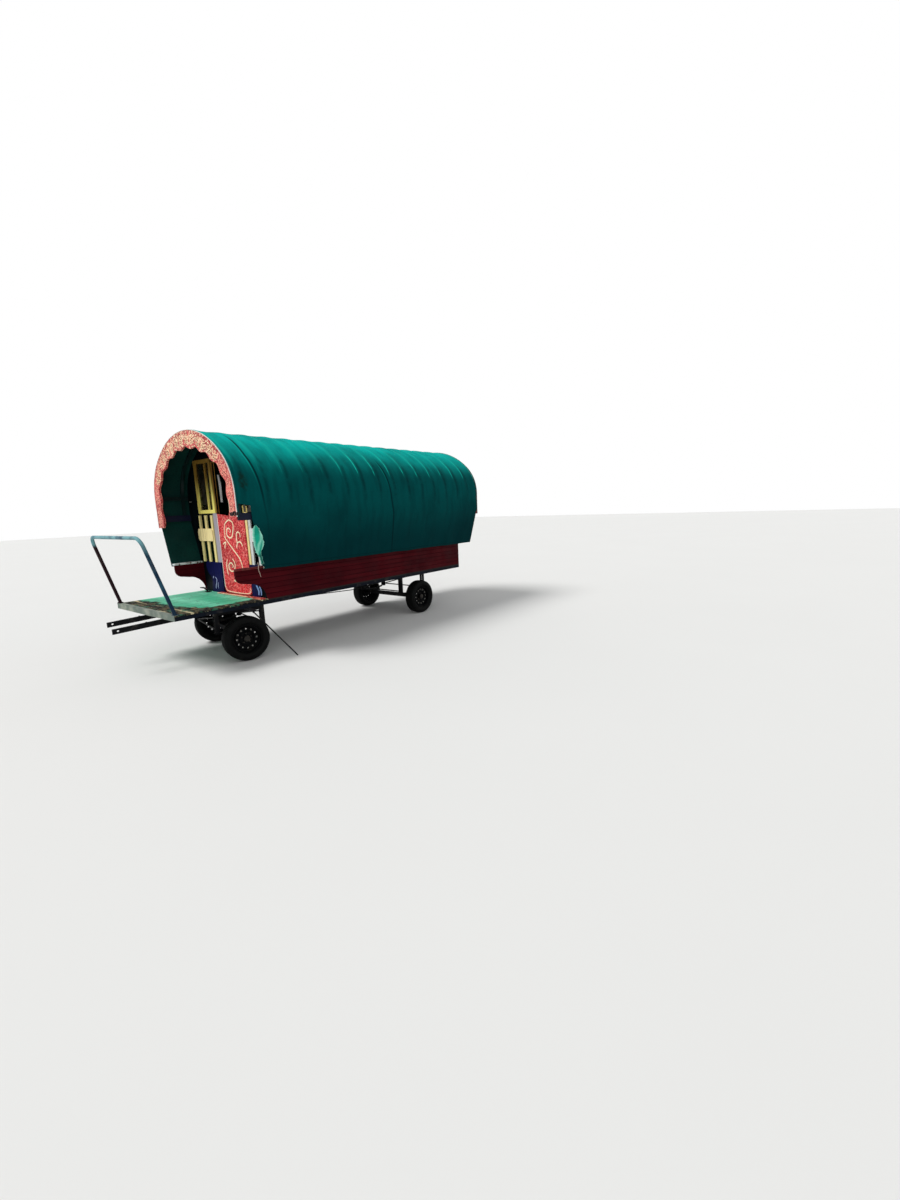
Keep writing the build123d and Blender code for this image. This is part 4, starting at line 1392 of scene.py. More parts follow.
@dataclass(frozen=True)
class Arch:
    """The outline of the barrel top, by its distance from the crest."""

    half_width: float = 0.985
    spring_z: float = 1.95
    rise: float = 0.77
    shoulder: float = 0.62
    waist_z: float = 1.67
    hem_half: float = 0.815
    hem_z: float = 1.09

    def runs(self) -> tuple[float, float, float, float, float]:
        """Works out the parts of one half of the outline.

        Returns:
            The crest's radius, then the lengths of crest, shoulder, leg and leaning side.
        """
        centre_x = self.half_width - self.shoulder
        radius = (self.rise**2 + centre_x**2 - self.shoulder**2) / (2 * (self.rise - self.shoulder))
        centre_z = self.spring_z + self.rise - radius
        lean = math.atan2(self.spring_z - centre_z, centre_x)
        side = math.hypot(self.half_width - self.hem_half, self.waist_z - self.hem_z)
        return (
            radius,
            radius * (math.pi / 2 - lean),
            self.shoulder * lean,
            self.spring_z - self.waist_z,
            side,
        )

    def half(self) -> float:
        """Gives the distance from the crest to the hem."""
        return sum(self.runs()[1:])

    def at(self, distance: float, leaning: bool = True) -> tuple[Flat, Flat]:
        """Gives a point of the outline and the way out there.

        Args:
            distance: Distance from the crest, above 0 towards the near side.
            leaning: True for the cover, which leans in below the waist, and False for a crown.

        Returns:
            The point and the outward direction, each as its X and Z.
        """
        radius, crest, shoulder, leg, side = self.runs()
        sign = 1.0 if distance >= 0 else -1.0
        s = abs(distance)
        if s <= crest:
            angle = math.pi / 2 - s / radius
            centre = (0.0, self.spring_z + self.rise - radius)
            reach = radius
        elif s <= crest + shoulder:
            angle = (crest + shoulder - s) / self.shoulder
            centre = (self.half_width - self.shoulder, self.spring_z)
            reach = self.shoulder
        elif s <= crest + shoulder + leg or not leaning:
            z = self.spring_z - (s - crest - shoulder)
            return (sign * self.half_width, z), (sign, 0.0)
        else:
            share = (s - crest - shoulder - leg) / side
            run = (self.half_width - self.hem_half, self.waist_z - self.hem_z)
            point = (self.half_width - run[0] * share, self.waist_z - run[1] * share)
            return (sign * point[0], point[1]), (sign * run[1] / side, -run[0] / side)
        way = (math.cos(angle), math.sin(angle))
        point = (centre[0] + reach * way[0], centre[1] + reach * way[1])
        return (sign * point[0], point[1]), (sign * way[0], way[1])


ARCH = Arch()


@dataclass
class Cover:
    """The canvas over the bows, with its folded front corner and its ties."""

    front_y: float = -1.742
    rear_y: float = 2.768
    bows: int = 16
    bow_width: float = 0.038
    ridge: float = 0.0065
    sag: float = 0.0015
    cloth: float = 0.003
    step_back: float = 0.152
    step_high: float = 1.83
    step_low: float = 1.68
    hem_back: float = 0.323
    seams: tuple[float, ...] = (-1.49, 0.57)
    squares_round: int = 190
    squares_along: int = 188
    fold_wide: float = 0.090
    fold_shade_z: float = 1.27
    leaf: tuple[Point, ...] = (
        (1.606, -1.566, -1.552),
        (1.555, -1.588, -1.505),
        (1.500, -1.592, -1.470),
        (1.430, -1.577, -1.437),
        (1.360, -1.556, -1.445),
        (1.300, -1.532, -1.458),
        (1.268, -1.508, -1.468),
        (1.230, -1.482, -1.458),
        (1.152, -1.456, -1.424),
    )
    strands: tuple[tuple[Flat, Flat, float], ...] = (
        ((-1.496, 1.176), (-1.463, 1.000), 0.013),
        ((-1.434, 1.176), (-1.413, 1.100), 0.022),
    )

    def build(self) -> None:
        """Builds the cover and what hangs on it."""
        self._canvas()
        self._fold()
        self._ties()

    def seam_off(self, y: float, s: float) -> float:
        """Gives how far a place is from the nearest seam, which leans back lower down."""
        lean = 0.12 * max(0.0, abs(s) - 0.9)
        return min((y - place - lean for place in self.seams), key=abs)

    def height_at(self, s: float) -> float:
        """Gives how high a place on the cloth is, from 0 at the hem to 1 at the crest."""
        return 1.0 - abs(s) / ARCH.half()

    def side_start(self) -> float:
        """Gives the distance from the crest to where the side starts to lean in."""
        return ARCH.half() - self.side_length()

    def side_length(self) -> float:
        """Gives the length of the leaning side."""
        return ARCH.runs()[4]

    def front_edge(self, z: float, near: bool) -> float:
        """Gives where the canvas starts at a height.

        Args:
            z: The height.
            near: True on the near side, whose corner is folded back.

        Returns:
            The place along the wagon.
        """
        if not near or z > self.step_high:
            return self.front_y
        if z > self.step_low:
            return self.front_y + self.step_back
        share = (self.step_low - z) / (self.step_low - ARCH.hem_z)
        return self.front_y + self.step_back + (self.hem_back - self.step_back) * share

    def _bow_share(self, y: float) -> float:
        """Gives how far a place is from the bows either side.

        Args:
            y: Place along the wagon.

        Returns:
            The share of the way: 0 on a bow, 1 midway.
        """
        pitch = (self.rear_y - self.bow_width - self.front_y) / (self.bows - 1)
        off = (y - self.front_y - self.bow_width / 2) / pitch
        away = abs(off - round(off)) * pitch - self.bow_width * 0.2
        return min(1.0, max(0.0, away / (pitch / 2 - self.bow_width * 0.2)))

    def lift(self, y: float, s: float) -> float:
        """Gives how far the cloth stands off the arch.

        Args:
            y: Place along the wagon.
            s: Distance from the crest.

        Returns:
            The distance outwards.
        """
        _, crest, shoulder, leg, side = ARCH.runs()
        far = abs(s)
        upper = 1.0 - min(1.0, max(0.0, (far - crest - 0.2) / (shoulder + leg - 0.1)))
        share = self._bow_share(y)
        rise = self.ridge - (self.ridge + self.sag) * (1 - (1 - share) ** 2)
        height = rise * upper + 0.004 * (1 - upper)
        low = min(1.0, max(0.0, (far - crest - shoulder - leg * 0.3) / (side + leg * 0.7)))
        spot = noise.noise(Vector((y * 2.6, s * 0.9, 3.0)))
        flutter = noise.noise(Vector((y * 5.5, s * 0.5, 9.0)))
        height += low * (0.010 + 0.012 * spot + 0.006 * flutter)
        height += 0.0015 * noise.noise(Vector((y * 9.0, s * 6.0, 1.0)))
        height += 0.0030 * math.exp(-((self.seam_off(y, s) / 0.012) ** 2))
        return max(height, -0.0045 if upper > 0 else 0.0)

    def _canvas(self) -> None:
        """Lays one sheet of canvas over the bows."""
        half = ARCH.half()
        piece = Workpiece()

        def lay(u: float, v: float) -> Point:
            """Places one point of the grid.

            Args:
                u: Share across.
                v: Share along.

            Returns:
                The place.
            """
            s = (u - 0.5) * 2 * half
            y = self.front_y + v * (self.rear_y - self.front_y)
            point, way = ARCH.at(s)
            off = self.lift(y, s)
            y = max(y, self.front_edge(point[1], s > 0))
            near_hem = max(0.0, abs(s) / half - 0.9)
            droop = 0.006 * noise.noise(Vector((y * 3.1, s, 5.0))) * near_hem * 10
            return (point[0] + way[0] * off, y, point[1] + way[1] * off + droop)

        height = piece.bm.verts.layers.float.new("height")
        shares = piece.grid(self.squares_round, self.squares_along, lay)
        # The cloth's finish paints light by this height: lit at the crest and shaded towards the hem.
        for vert, (u, v) in shares.items():
            vert[height] = self.height_at((u - 0.5) * 2 * half)
        bmesh.ops.remove_doubles(piece.bm, verts=piece.bm.verts, dist=0.0004)
        bmesh.ops.dissolve_degenerate(piece.bm, edges=piece.bm.edges, dist=0.0002)
        piece.face_out()
        canvas = piece.finished(
            "canvas", "root", TEAL_CANVAS, 50.0, ["canvas_cover"]
        )
        canvas.data.materials.append(CANVAS_LINING.material())
        thicken(canvas, self.cloth).material_offset = 1

    def _fold(self) -> None:
        """Turns the near front corner out and lets its edge hang ahead of the cover in creases."""
        piece = Workpiece()
        high, low = self.leaf[0][0], self.leaf[-1][0]

        def edges(z: float) -> Flat:
            """Gives where the leaf's edges are.

            Args:
                z: The height.

            Returns:
                The places of its front and back edges.
            """
            for upper, lower in zip(self.leaf, self.leaf[1:]):
                if z >= lower[0]:
                    share = (upper[0] - z) / (upper[0] - lower[0])
                    ahead, back = (upper[n] + (lower[n] - upper[n]) * share for n in (1, 2))
                    return ahead, back
            return self.leaf[-1][1], self.leaf[-1][2]

        def lay(u: float, v: float) -> Point:
            """Places one point of the grid.

            Args:
                u: Share across.
                v: Share along.

            Returns:
                The place.
            """
            z = high + (low - high) * v
            share = (ARCH.waist_z - z) / (ARCH.waist_z - ARCH.hem_z)
            x = ARCH.half_width - (ARCH.half_width - ARCH.hem_half) * share
            ahead, back = edges(z)
            crumple = noise.noise(Vector((u * 2.2, v * 7.0, 2.0)))
            ragged = noise.noise(Vector((u * 1.5, v * 26.0, 7.0)))
            pleat = 0.006 * math.sin(u * 9.0 + v * 5.0 + 2.0 * crumple)
            y = ahead + (back - ahead) * u + 0.004 * crumple + 0.010 * ragged * (2 * u - 1)
            stand = self.lift(y, self.side_start() + self.side_length() * share) + 0.010
            stand += 0.008 * math.sin(math.pi * u) + pleat + 0.005 * crumple
            return (x + stand, y, z + 0.006 * math.sin(u * 7.0 + v * 9.0))

        height = piece.bm.verts.layers.float.new("height")
        ridge = piece.bm.verts.layers.float.new("ridge")
        # Painted light: the leaf is painted lit above fold_shade_z and in shade below it, with painted
        # highlights on its rim and a slanting crease.
        for vert, (u, v) in piece.grid(18, 56, lay).items():
            lit = vert.co.z > self.fold_shade_z
            vert[height] = 0.75 if lit else 0.2
            rim = max(0.0, abs(2 * u - 1) - 0.5) * 2.0
            slant = max(0.0, 1.0 - abs(u - 1.15 + v * 1.3) * 5.0)
            vert[ridge] = min(1.0, rim + 0.7 * slant) * (1.0 if lit else 0.45)
        piece.face_out()
        fold = piece.finished("canvas_fold", "root", LOOSE_CANVAS, 60.0)
        thicken(fold, 0.0025, 0.0)

    def _ties(self) -> None:
        """Hangs two frayed strands of webbing from the hem."""
        for number, (top, foot, wide) in enumerate(self.strands):
            piece = Workpiece()
            drop = top[1] - foot[1]

            def lay(u: float, v: float) -> Point:
                """Places one point of the grid.

                Args:
                    u: Share across.
                    v: Share along.

                Returns:
                    The place.
                """
                z = top[1] - drop * v
                y = top[0] + (foot[0] - top[0]) * v
                frayed = 1 + 0.35 * noise.noise(Vector((v * 9, u * 4, number)))
                half = wide * (1.0 - 0.45 * v) * frayed
                lean = ARCH.half_width - ARCH.hem_half
                share = min(1.0, (ARCH.waist_z - z) / (ARCH.waist_z - ARCH.hem_z))
                x = ARCH.half_width - lean * share + 0.014 + 0.004 * math.sin(v * 9.0)
                return (x + 0.003 * math.sin(u * 5.0), y + (u - 0.5) * half, z)

            piece.grid(3, 24, lay)
            piece.face_out()
            tie = piece.finished(f"hem_tie_{number + 1}", "root", FRAYED_TIE)
            thicken(tie, 0.002)


@dataclass
class Crown:
    """A scalloped end board's painted edge, the canvas that binds its rim, and its scrolls."""

    name: str
    node: str
    face_y: float
    outward: float
    near_end_z: float
    far_end_z: float = 1.595
    thickness: float = 0.025
    lobes: int = 12
    proud: float = 0.006
    edge_wide: float = 0.006
    brush: float = 0.0062
    margin: float = 0.012
    legs_from: float = 1.2
    leg_narrow: float = 0.76
    pale_to: float = 0.75

    def build(self) -> None:
        """Builds the edge and the binding, and paints the scrolls."""
        dress(CROWN_PAINT, self.node)
        self._edge()
        self._binding()
        self._scrolls()

    def ends(self) -> tuple[float, float]:
        """Works out where the board's edge ends.

        Returns:
            The far and near ends, as distances from the crest.
        """
        _, crest, shoulder, _, _ = ARCH.runs()
        upper = crest + shoulder + ARCH.spring_z
        return -(upper - self.far_end_z), upper - self.near_end_z

    def _edge(self) -> None:
        """Lays the pale painted edge along the arch, round the board's outer corner."""
        far, near = self.ends()
        piece = Workpiece()
        corner = 0.5
        skin = 0.0016

        def lay(u: float, v: float) -> Point:
            """Places one point of the grid.

            Args:
                u: Share across.
                v: Share along.

            Returns:
                The place.
            """
            s = far + (near - far) * v
            point, way = ARCH.at(s, leaning=False)
            out = self.proud + skin
            if u <= corner:
                inward = self.edge_wide * (1 - u / corner) * (0.85 + 0.15 * math.sin(s * 40))
                depth = -skin
            else:
                inward = 0.0
                depth = self.thickness * 0.32 * (u - corner) / (1 - corner)
            reach = out - inward
            y = self.face_y - self.outward * depth
            return (point[0] + way[0] * reach, y, point[1] + way[1] * reach)

        piece.grid(4, 150, lay)
        piece.face_out()
        made = piece.finished(f"{self.name}_edge", "root", WHITE_EDGE)
        thicken(made, 0.0014, 0.0)

    def _binding(self) -> None:
        """Turns the cover's edge over the back of the board's rim, as a narrow band of canvas."""
        far, near = self.ends()
        piece = Workpiece()
        wide = self.thickness * 0.74

        def lay(u: float, v: float) -> Point:
            """Places one point of the grid.

            Args:
                u: Share across.
                v: Share along.

            Returns:
                The place.
            """
            s = far + (near - far) * v
            point, way = ARCH.at(s, leaning=False)
            reach = self.proud + 0.0034 + 0.0008 * math.sin(s * 57.0) * u
            y = self.face_y - self.outward * (self.thickness * 0.30 + wide * u)
            return (point[0] + way[0] * reach, y, point[1] + way[1] * reach)

        height = piece.bm.verts.layers.float.new("height")
        # The binding's finish paints light by this height: lit at the crest and shaded towards the
        # feet.
        for vert, (_, v) in piece.grid(4, 150, lay).items():
            vert[height] = 1.0 - abs(far + (near - far) * v) / ARCH.half()
        piece.face_out()
        made = piece.finished(f"{self.name}_binding", "root", BINDING)
        thicken(made, 0.0016, 0.0)

    def _scrolls(self) -> None:
        """Paints a pair of scrolls, leaves and dots on each lobe."""
        far, near = self.ends()
        _, crest, shoulder, _, _ = ARCH.runs()
        pitch = 2 * (crest + shoulder + ARCH.spring_z - self.far_end_z) / self.lobes
        pale: list[Stroke] = []
        pink: list[Stroke] = []
        dark: list[Stroke] = []
        for lobe in range(self.lobes):
            middle = (lobe + 0.5 - self.lobes / 2) * pitch
            narrow = 1.0 if abs(middle) < self.legs_from else self.leg_narrow
            bright = -self.legs_from < middle < self.pale_to
            for group, lines in zip((pale if bright else pink, dark), self._pattern(lobe)):
                for line, width in lines:
                    points = []
                    for t, n in line:
                        if far + self.margin < middle + t < near - self.margin:
                            point, way = ARCH.at(middle + t, leaning=False)
                            inward = n * narrow
                            points.append((point[0] - way[0] * inward, point[1] - way[1] * inward))
                    if len(points) > 3:
                        group.append((points, width))
        for name, group, finish in (
            ("scrolls", pale, GOLD_PAINT),
            ("leg_scrolls", pink, PINK_PAINT),
            ("shades", dark, RED_LINE),
        ):
            piece = Workpiece()
            piece.paint_on_wall(self.face_y, group, 0.3)
            piece.finished(f"{self.name}_{name}", "root", finish)

    def _pattern(self, lobe: int) -> tuple[list[Stroke], list[Stroke]]:
        """Gives one lobe's strokes, along the arch and inwards from its edge.

        Args:
            lobe: Number of the lobe.

        Returns:
            Its pale and its dark lines of points, each with its half width.
        """
        wide = self.brush
        sway = 0.006 * math.sin(lobe * 2.1)
        curl = spiral((0.052, 0.128 + sway), 0.036, 200, 1.35, 1)
        half = [
            ([(0.115, 0.062), (0.07, 0.075), (0.03, 0.095), *curl], wide),
            (spiral((0.106, 0.088), 0.024, 250, 1.1, -1), wide * 0.8),
            (spiral((0.062, 0.050), 0.022, 60, 1.2, 1), wide * 0.8),
            (bend((0.012, 0.055), (0.03, 0.075), (0.014, 0.100)), wide * 0.8),
            (bend((0.122, 0.125), (0.102, 0.120), (0.092, 0.140)), wide * 0.9),
            (bend((0.018, 0.168), (0.03, 0.150), (0.012, 0.132)), wide * 0.8),
            (bend((0.138, 0.040), (0.12, 0.05), (0.108, 0.040)), wide * 0.8),
        ]
        shade = [
            (bend((0.120, 0.070), (0.075, 0.085), (0.036, 0.108)), wide * 0.8),
            (spiral((0.053, 0.130 + sway), 0.025, 220, 1.0, 1), wide * 0.8),
            (bend((0.084, 0.034), (0.062, 0.030), (0.044, 0.040)), wide * 0.9),
            (bend((0.135, 0.100), (0.120, 0.108), (0.112, 0.122)), wide * 0.9),
            (bend((0.086, 0.118), (0.092, 0.132), (0.084, 0.146)), wide * 0.9),
        ]
        tip = ([(0.0, 0.036), (0.003, 0.042), (0.0, 0.05), (0.0, 0.056)], wide)
        pale = half + [([(-t, n) for t, n in line], width) for line, width in half] + [tip]
        dark = shade + [([(-t, n) for t, n in line], width) for line, width in shade]
        return pale, dark


@dataclass
class Porch:
    """The front wall with its half door, its windows, brackets and small fittings."""

    wall_y: float = -1.357
    door_left: float = -0.205
    door_right: float = 0.434
    door_low: float = 0.733
    door_high_left: float = 1.751
    door_half: float = 0.013
    corner: float = 0.065
    brush: float = 0.0100
    opening: Flat = (-0.211, 0.440)
    lining_low: float = 0.727
    lining_foot: float = 1.766
    head_z: float = 2.40
    panes: tuple[Flat, ...] = ((-0.625, -0.271), (0.500, 0.625))
    panes_z: Flat = (1.803, 2.409)
    drape: Flat = (0.115, 0.345)
    drape_top: float = 2.245
    knob: Flat = (-0.868, 1.926)

    def build(self) -> None:
        """Dresses the wall and builds its fittings."""
        dress(WALL_LINING, "front_wall")
        dress(WINDOW_PAINT, "front_windows")
        dress(PICKET_PAINT, "pickets")
        dress(POST_PAINT, "door_posts")
        dress(NAVY_PAINT, "ogee_brackets")
        dress(DOOR_PAINT, "half_door")
        dress(THRESHOLD_PAINT, "threshold")
        self._door_scrolls()
        self._door_edges()
        self._door_lining()
        self._bracket_strokes()
        self._glass()
        self._curtain()
        self._knob()
        self._threshold_edge()
        self._crown_tie()

    def _door_scrolls(self) -> None:
        """Paints the cream scrolls on the half door."""
        wide = self.brush
        rising = ((-0.041, 1.418), (-0.057, 1.480), (-0.057, 1.542), (-0.023, 1.626), (0.077, 1.675))
        falling = ((0.153, 1.647), (0.168, 1.600), (0.153, 1.540), (0.118, 1.468), (0.070, 1.447))
        curl = ((-0.014, 1.496), (0.002, 1.548), (0.053, 1.569), (0.091, 1.539), (0.072, 1.512))
        tall = through(rising) + through((*falling, (0.014, 1.462))) + through(curl)
        outer = ((0.055, 1.180), (0.095, 1.150), (0.110, 1.097), (0.078, 1.035), (0.004, 1.017))
        inner = ((-0.046, 1.090), (-0.020, 1.118), (0.028, 1.124), (0.064, 1.087), (0.040, 1.068))
        low = through((*outer, (-0.049, 1.050))) + through(inner)
        branch = ((-0.075, 1.464), (-0.014, 1.403), (0.110, 1.298), (0.233, 1.194), (0.274, 1.119))
        stem = through((*branch, (0.289, 1.055)))
        hook = spiral((0.262, 1.478), 0.045, -30, 0.58, 1, 0.95)
        hook += through([(0.214, 1.440), (0.222, 1.385), (0.205, 1.350), (0.198, 1.325)])
        lines: list[Stroke] = [
            (tall, wide),
            (stem, wide),
            (hook, wide),
            (through([(0.222, 1.385), (0.280, 1.400), (0.322, 1.378), (0.335, 1.345)]), wide),
            (through([(-0.129, 1.363), (-0.085, 1.385), (-0.046, 1.395)]), wide * 0.9),
            (through([(-0.046, 1.395), (-0.080, 1.350), (-0.096, 1.308)]), wide * 0.9),
            (through([(-0.068, 1.168), (-0.098, 1.104), (-0.100, 1.040), (-0.082, 0.969)]), wide),
            (low, wide),
            (through([(0.046, 0.905), (0.066, 0.896), (0.086, 0.884)]), wide * 0.9),
            (through([(0.058, 0.882), (0.066, 0.896), (0.078, 0.912)]), wide * 0.9),
        ]
        piece = Workpiece()
        piece.paint_on_wall(self.wall_y - self.door_half, lines)
        piece.finished("door_scrolls", "half_door_leaf", CREAM_PAINT)

    def _door_edges(self) -> None:
        """Paints the door's pale left edge and the cream line round its foot."""
        y = self.wall_y - self.door_half
        foot = through(
            [
                (self.door_left + 0.010, 0.870),
                (self.door_left + 0.014, 0.805),
                (-0.162, 0.762),
                (-0.080, 0.747),
                (0.105, 0.742),
                (0.337, 0.748),
                (self.door_right - 0.026, 0.775),
                (self.door_right - 0.012, 0.830),
            ]
        )
        piece = Workpiece()
        piece.paint_on_wall(y, [(foot, 0.0065)])
        piece.finished("door_foot_line", "half_door_leaf", CREAM_PAINT)
        edge = Workpiece()
        edge.block(
            (self.door_left - 0.0012, y - 0.0012, self.door_low + self.corner),
            (self.door_left + 0.010, self.wall_y + self.door_half, self.door_high_left - 0.004),
            0.0008,
        )
        edge.finished("door_pale_edge", "half_door_leaf", WHITE_EDGE)

    def _door_lining(self) -> None:
        """Fits the stained wood lining inside the doorway, behind the leaf."""
        low, high = self.lining_low, self.head_z
        left, right = self.opening
        y0, y1 = self.wall_y + 0.022, self.wall_y + 0.036
        face, back = self.wall_y - 0.012, self.wall_y + 0.002
        piece = Workpiece()
        piece.block((left - 0.024, y0, low), (left - 0.001, y1, high + 0.04), 0.003)
        piece.block((right + 0.001, y0, low), (right + 0.040, y1, high + 0.04), 0.003)
        piece.block((left - 0.024, y0, high + 0.001), (right + 0.040, y1, high + 0.042), 0.003)
        piece.block((left - 0.001, face, self.lining_foot), (left + 0.004, back, high), 0.001)
        piece.block((left - 0.001, face, high - 0.004), (right, y0, high + 0.001), 0.001)
        piece.finished("door_lining", "root", DOOR_FRAME)

    def _bracket_strokes(self) -> None:
        """Paints the pale curves on the brackets either side of the door."""
        y = self.wall_y - 0.020
        far = [
            (through([(-0.425, 0.918), (-0.398, 0.900), (-0.390, 0.881), (-0.405, 0.840)]), 0.0075),
            (through([(-0.405, 0.840), (-0.428, 0.800), (-0.435, 0.759)]), 0.0070),
            (through([(-0.360, 0.850), (-0.372, 0.812), (-0.368, 0.768)]), 0.0060),
            (spiral((-0.471, 0.912), 0.014, 20, 0.9, 1, 0.5), 0.0050),
        ]
        piece = Workpiece()
        piece.paint_on_wall(y, far, 0.25)
        piece.finished("far_bracket_strokes", "root", PALE_LINE)
        near = [
            (through([(0.560, 0.868), (0.585, 0.846), (0.610, 0.800), (0.600, 0.752)]), 0.018),
            (through([(0.628, 0.862), (0.652, 0.830), (0.662, 0.790), (0.655, 0.752)]), 0.014),
            (through([(0.500, 1.020), (0.512, 0.960), (0.500, 0.900)]), 0.006),
        ]
        piece = Workpiece()
        piece.paint_on_wall(y, near, 0.2)
        piece.finished("near_bracket_strokes", "root", PALE_BLUE)

    def _glass(self) -> None:
        """Sets the panes in the front windows."""
        piece = Workpiece()
        y = self.wall_y + 0.004
        low, high = self.panes_z
        for x0, x1 in self.panes:
            piece.block((x0, y, low), (x1, y + 0.003, high))
        piece.finished("front_panes", "root", GLASS)

    def _curtain(self) -> None:
        """Hangs one narrow gathered drape and its rail just inside the doorway."""
        piece = Workpiece()
        y = self.wall_y + 0.050
        top = self.drape_top

        def lay(u: float, v: float) -> Point:
            """Places one point of the grid.

            Args:
                u: Share across.
                v: Share along.

            Returns:
                The place.
            """
            z = top - 0.003 - self.drape[1] * v
            gather = 0.009 * math.sin(u * 26.0) * (0.6 + 0.4 * v)
            wide = 0.040 * (0.8 + 0.35 * math.sin(math.pi * min(1.0, v * 1.2)))
            return (-0.190 + 0.030 * v + u * wide + 0.004 * math.sin(v * 5.0), y + gather, z)

        piece.grid(30, 26, lay)
        piece.face_out()
        made = piece.finished("door_drape", "root", CURTAIN, 70.0)
        thicken(made, 0.0012)
        rail = Workpiece()
        rail.rod((-0.232, y, top), (0.455, y, top), 0.005, 10)
        back = self.wall_y + 0.030
        for x in (-0.229, 0.452):
            rail.block((x - 0.006, back, top - 0.008), (x + 0.006, y + 0.006, top + 0.008), 0.001)
        rail.finished("drape_rail", "root", BLACK_STEEL)

    def _knob(self) -> None:
        """Puts the small white knob on the far side of the wall."""
        piece = Workpiece()
        x, z = self.knob
        piece.rod((x, self.wall_y, z), (x, self.wall_y - 0.012, z), 0.006)
        piece.ball((x, self.wall_y - 0.018, z), (0.009, 0.008, 0.009))
        piece.finished("wall_knob", "root", NUT_STEEL)

    def _threshold_edge(self) -> None:
        """Paints the cream line along the threshold's front edge."""
        low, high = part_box("threshold")
        piece = Workpiece()
        piece.block(
            (low.x, low.y - 0.001, high.z - 0.004), (0.44, low.y + 0.006, high.z + 0.0012), 0.0006
        )
        piece.finished("threshold_edge", "root", CREAM_PAINT)

    def _crown_tie(self) -> None:
        """Knots the black tie round the near crown leg, with the strip and the stubs by it."""
        piece = Workpiece()
        low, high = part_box("crown_front")
        right, face = high.x + 0.006, low.y - 0.004
        for z in (1.733, 1.752):
            piece.block((0.850, face, z - 0.006), (right, low.y - 0.0005, z + 0.006), 0.0015)
        for x, z, wide, tall in ((0.900, 1.742, 0.030, 0.016), (0.955, 1.748, 0.024, 0.020)):
            self._loop(piece, (x, low.y - 0.006, z), wide, tall)
        piece.ball((0.928, low.y - 0.009, 1.744), (0.013, 0.010, 0.012), 6)
        piece.block((high.x + 0.001, face, 1.725), (right, low.y + 0.022, 1.760), 0.0015)
        piece.finished("crown_tie", "root", BLACK_WEBBING)
        strip = Workpiece()
        strip.block((0.8515, low.y - 0.0015, 1.765), (0.8585, low.y + 0.010, 1.905), 0.001)
        strip.finished("leg_strip", "root", CREAM_PAINT)
        feet = Workpiece()
        for y, top in ((-1.676, 1.83), (-1.635, 1.825)):
            feet.block((0.960, y - 0.005, 1.7505), (0.972, y + 0.005, top), 0.0015)
        feet.finished("bow_feet", "root", YELLOW_STUB)

    def _loop(self, piece: Workpiece, centre: Point, wide: float, tall: float) -> None:
        """Adds one loop of the tie's bow.

        Args:
            piece: The piece that it joins.
            centre: Its centre.
            wide: Half of its width.
            tall: Half of its height.
        """
        steps = 20
        angles = [2 * math.pi * n / steps for n in range(steps + 1)]
        x, y, z = centre
        rim = [(x + wide * math.cos(a), z + tall * math.sin(a)) for a in angles]
        piece.paint_on_wall(y, [(rim, 0.0062)], 0.8)


@dataclass
class Platform:
    """The driving platform: its deck, its steel edge and its handrail."""

    deck_z: float = 0.715
    front_y: float = -2.462
    half_width: float = 0.765
    wall_y: float = -1.357
    screws: int = 9
    first_screw_x: float = -0.70
    screw_pitch: float = 0.175
    weld_beads: int = 14

    def build(self) -> None:
        """Dresses the platform and adds its screws and welds."""
        dress(GREEN_DECK, "platform_deck")
        dress(EDGE_STEEL, "front_edge")
        dress(RAIL_STEEL, "handrail")
        dress(FLOOR_WOOD, "cabin_floor")
        dress(BLACK_STEEL, "brake_pedal")
        self._screws()
        self._welds()

    def _screws(self) -> None:
        """Sets rows of screw heads in the deck."""
        piece = Workpiece()
        low, high = self.deck_z - 0.001, self.deck_z + 0.0014
        for y in (self.front_y + 0.085, self.front_y + 0.60, self.wall_y - 0.14):
            for number in range(self.screws):
                x = self.first_screw_x + number * self.screw_pitch
                piece.rod((x, y, low), (x, y, high), 0.006, 8, 0.0045)
        piece.finished("deck_screws", "root", NUT_STEEL)

    def _welds(self) -> None:
        """Adds the weld beads and bolts at the feet of the handrail."""
        piece = Workpiece()
        foot_y = self.front_y + 0.026
        top = self.deck_z + 0.012
        for sign in (1, -1):
            x = sign * (self.half_width - 0.030)
            for number in range(self.weld_beads):
                angle = 2 * math.pi * number / self.weld_beads
                across, along = 0.0195 * math.cos(angle), 0.020 * math.sin(angle)
                piece.ball((x + across, foot_y + along, top + 0.001), (0.0038, 0.0038, 0.003), 4)
            for hand in (-1, 1):
                bolt_x, bolt_y = x + hand * sign * 0.022, foot_y - hand * 0.017
                piece.rod((bolt_x, bolt_y, top), (bolt_x, bolt_y, top + 0.005), 0.005, 6)
        piece.finished("handrail_welds", "root", RAIL_STEEL)


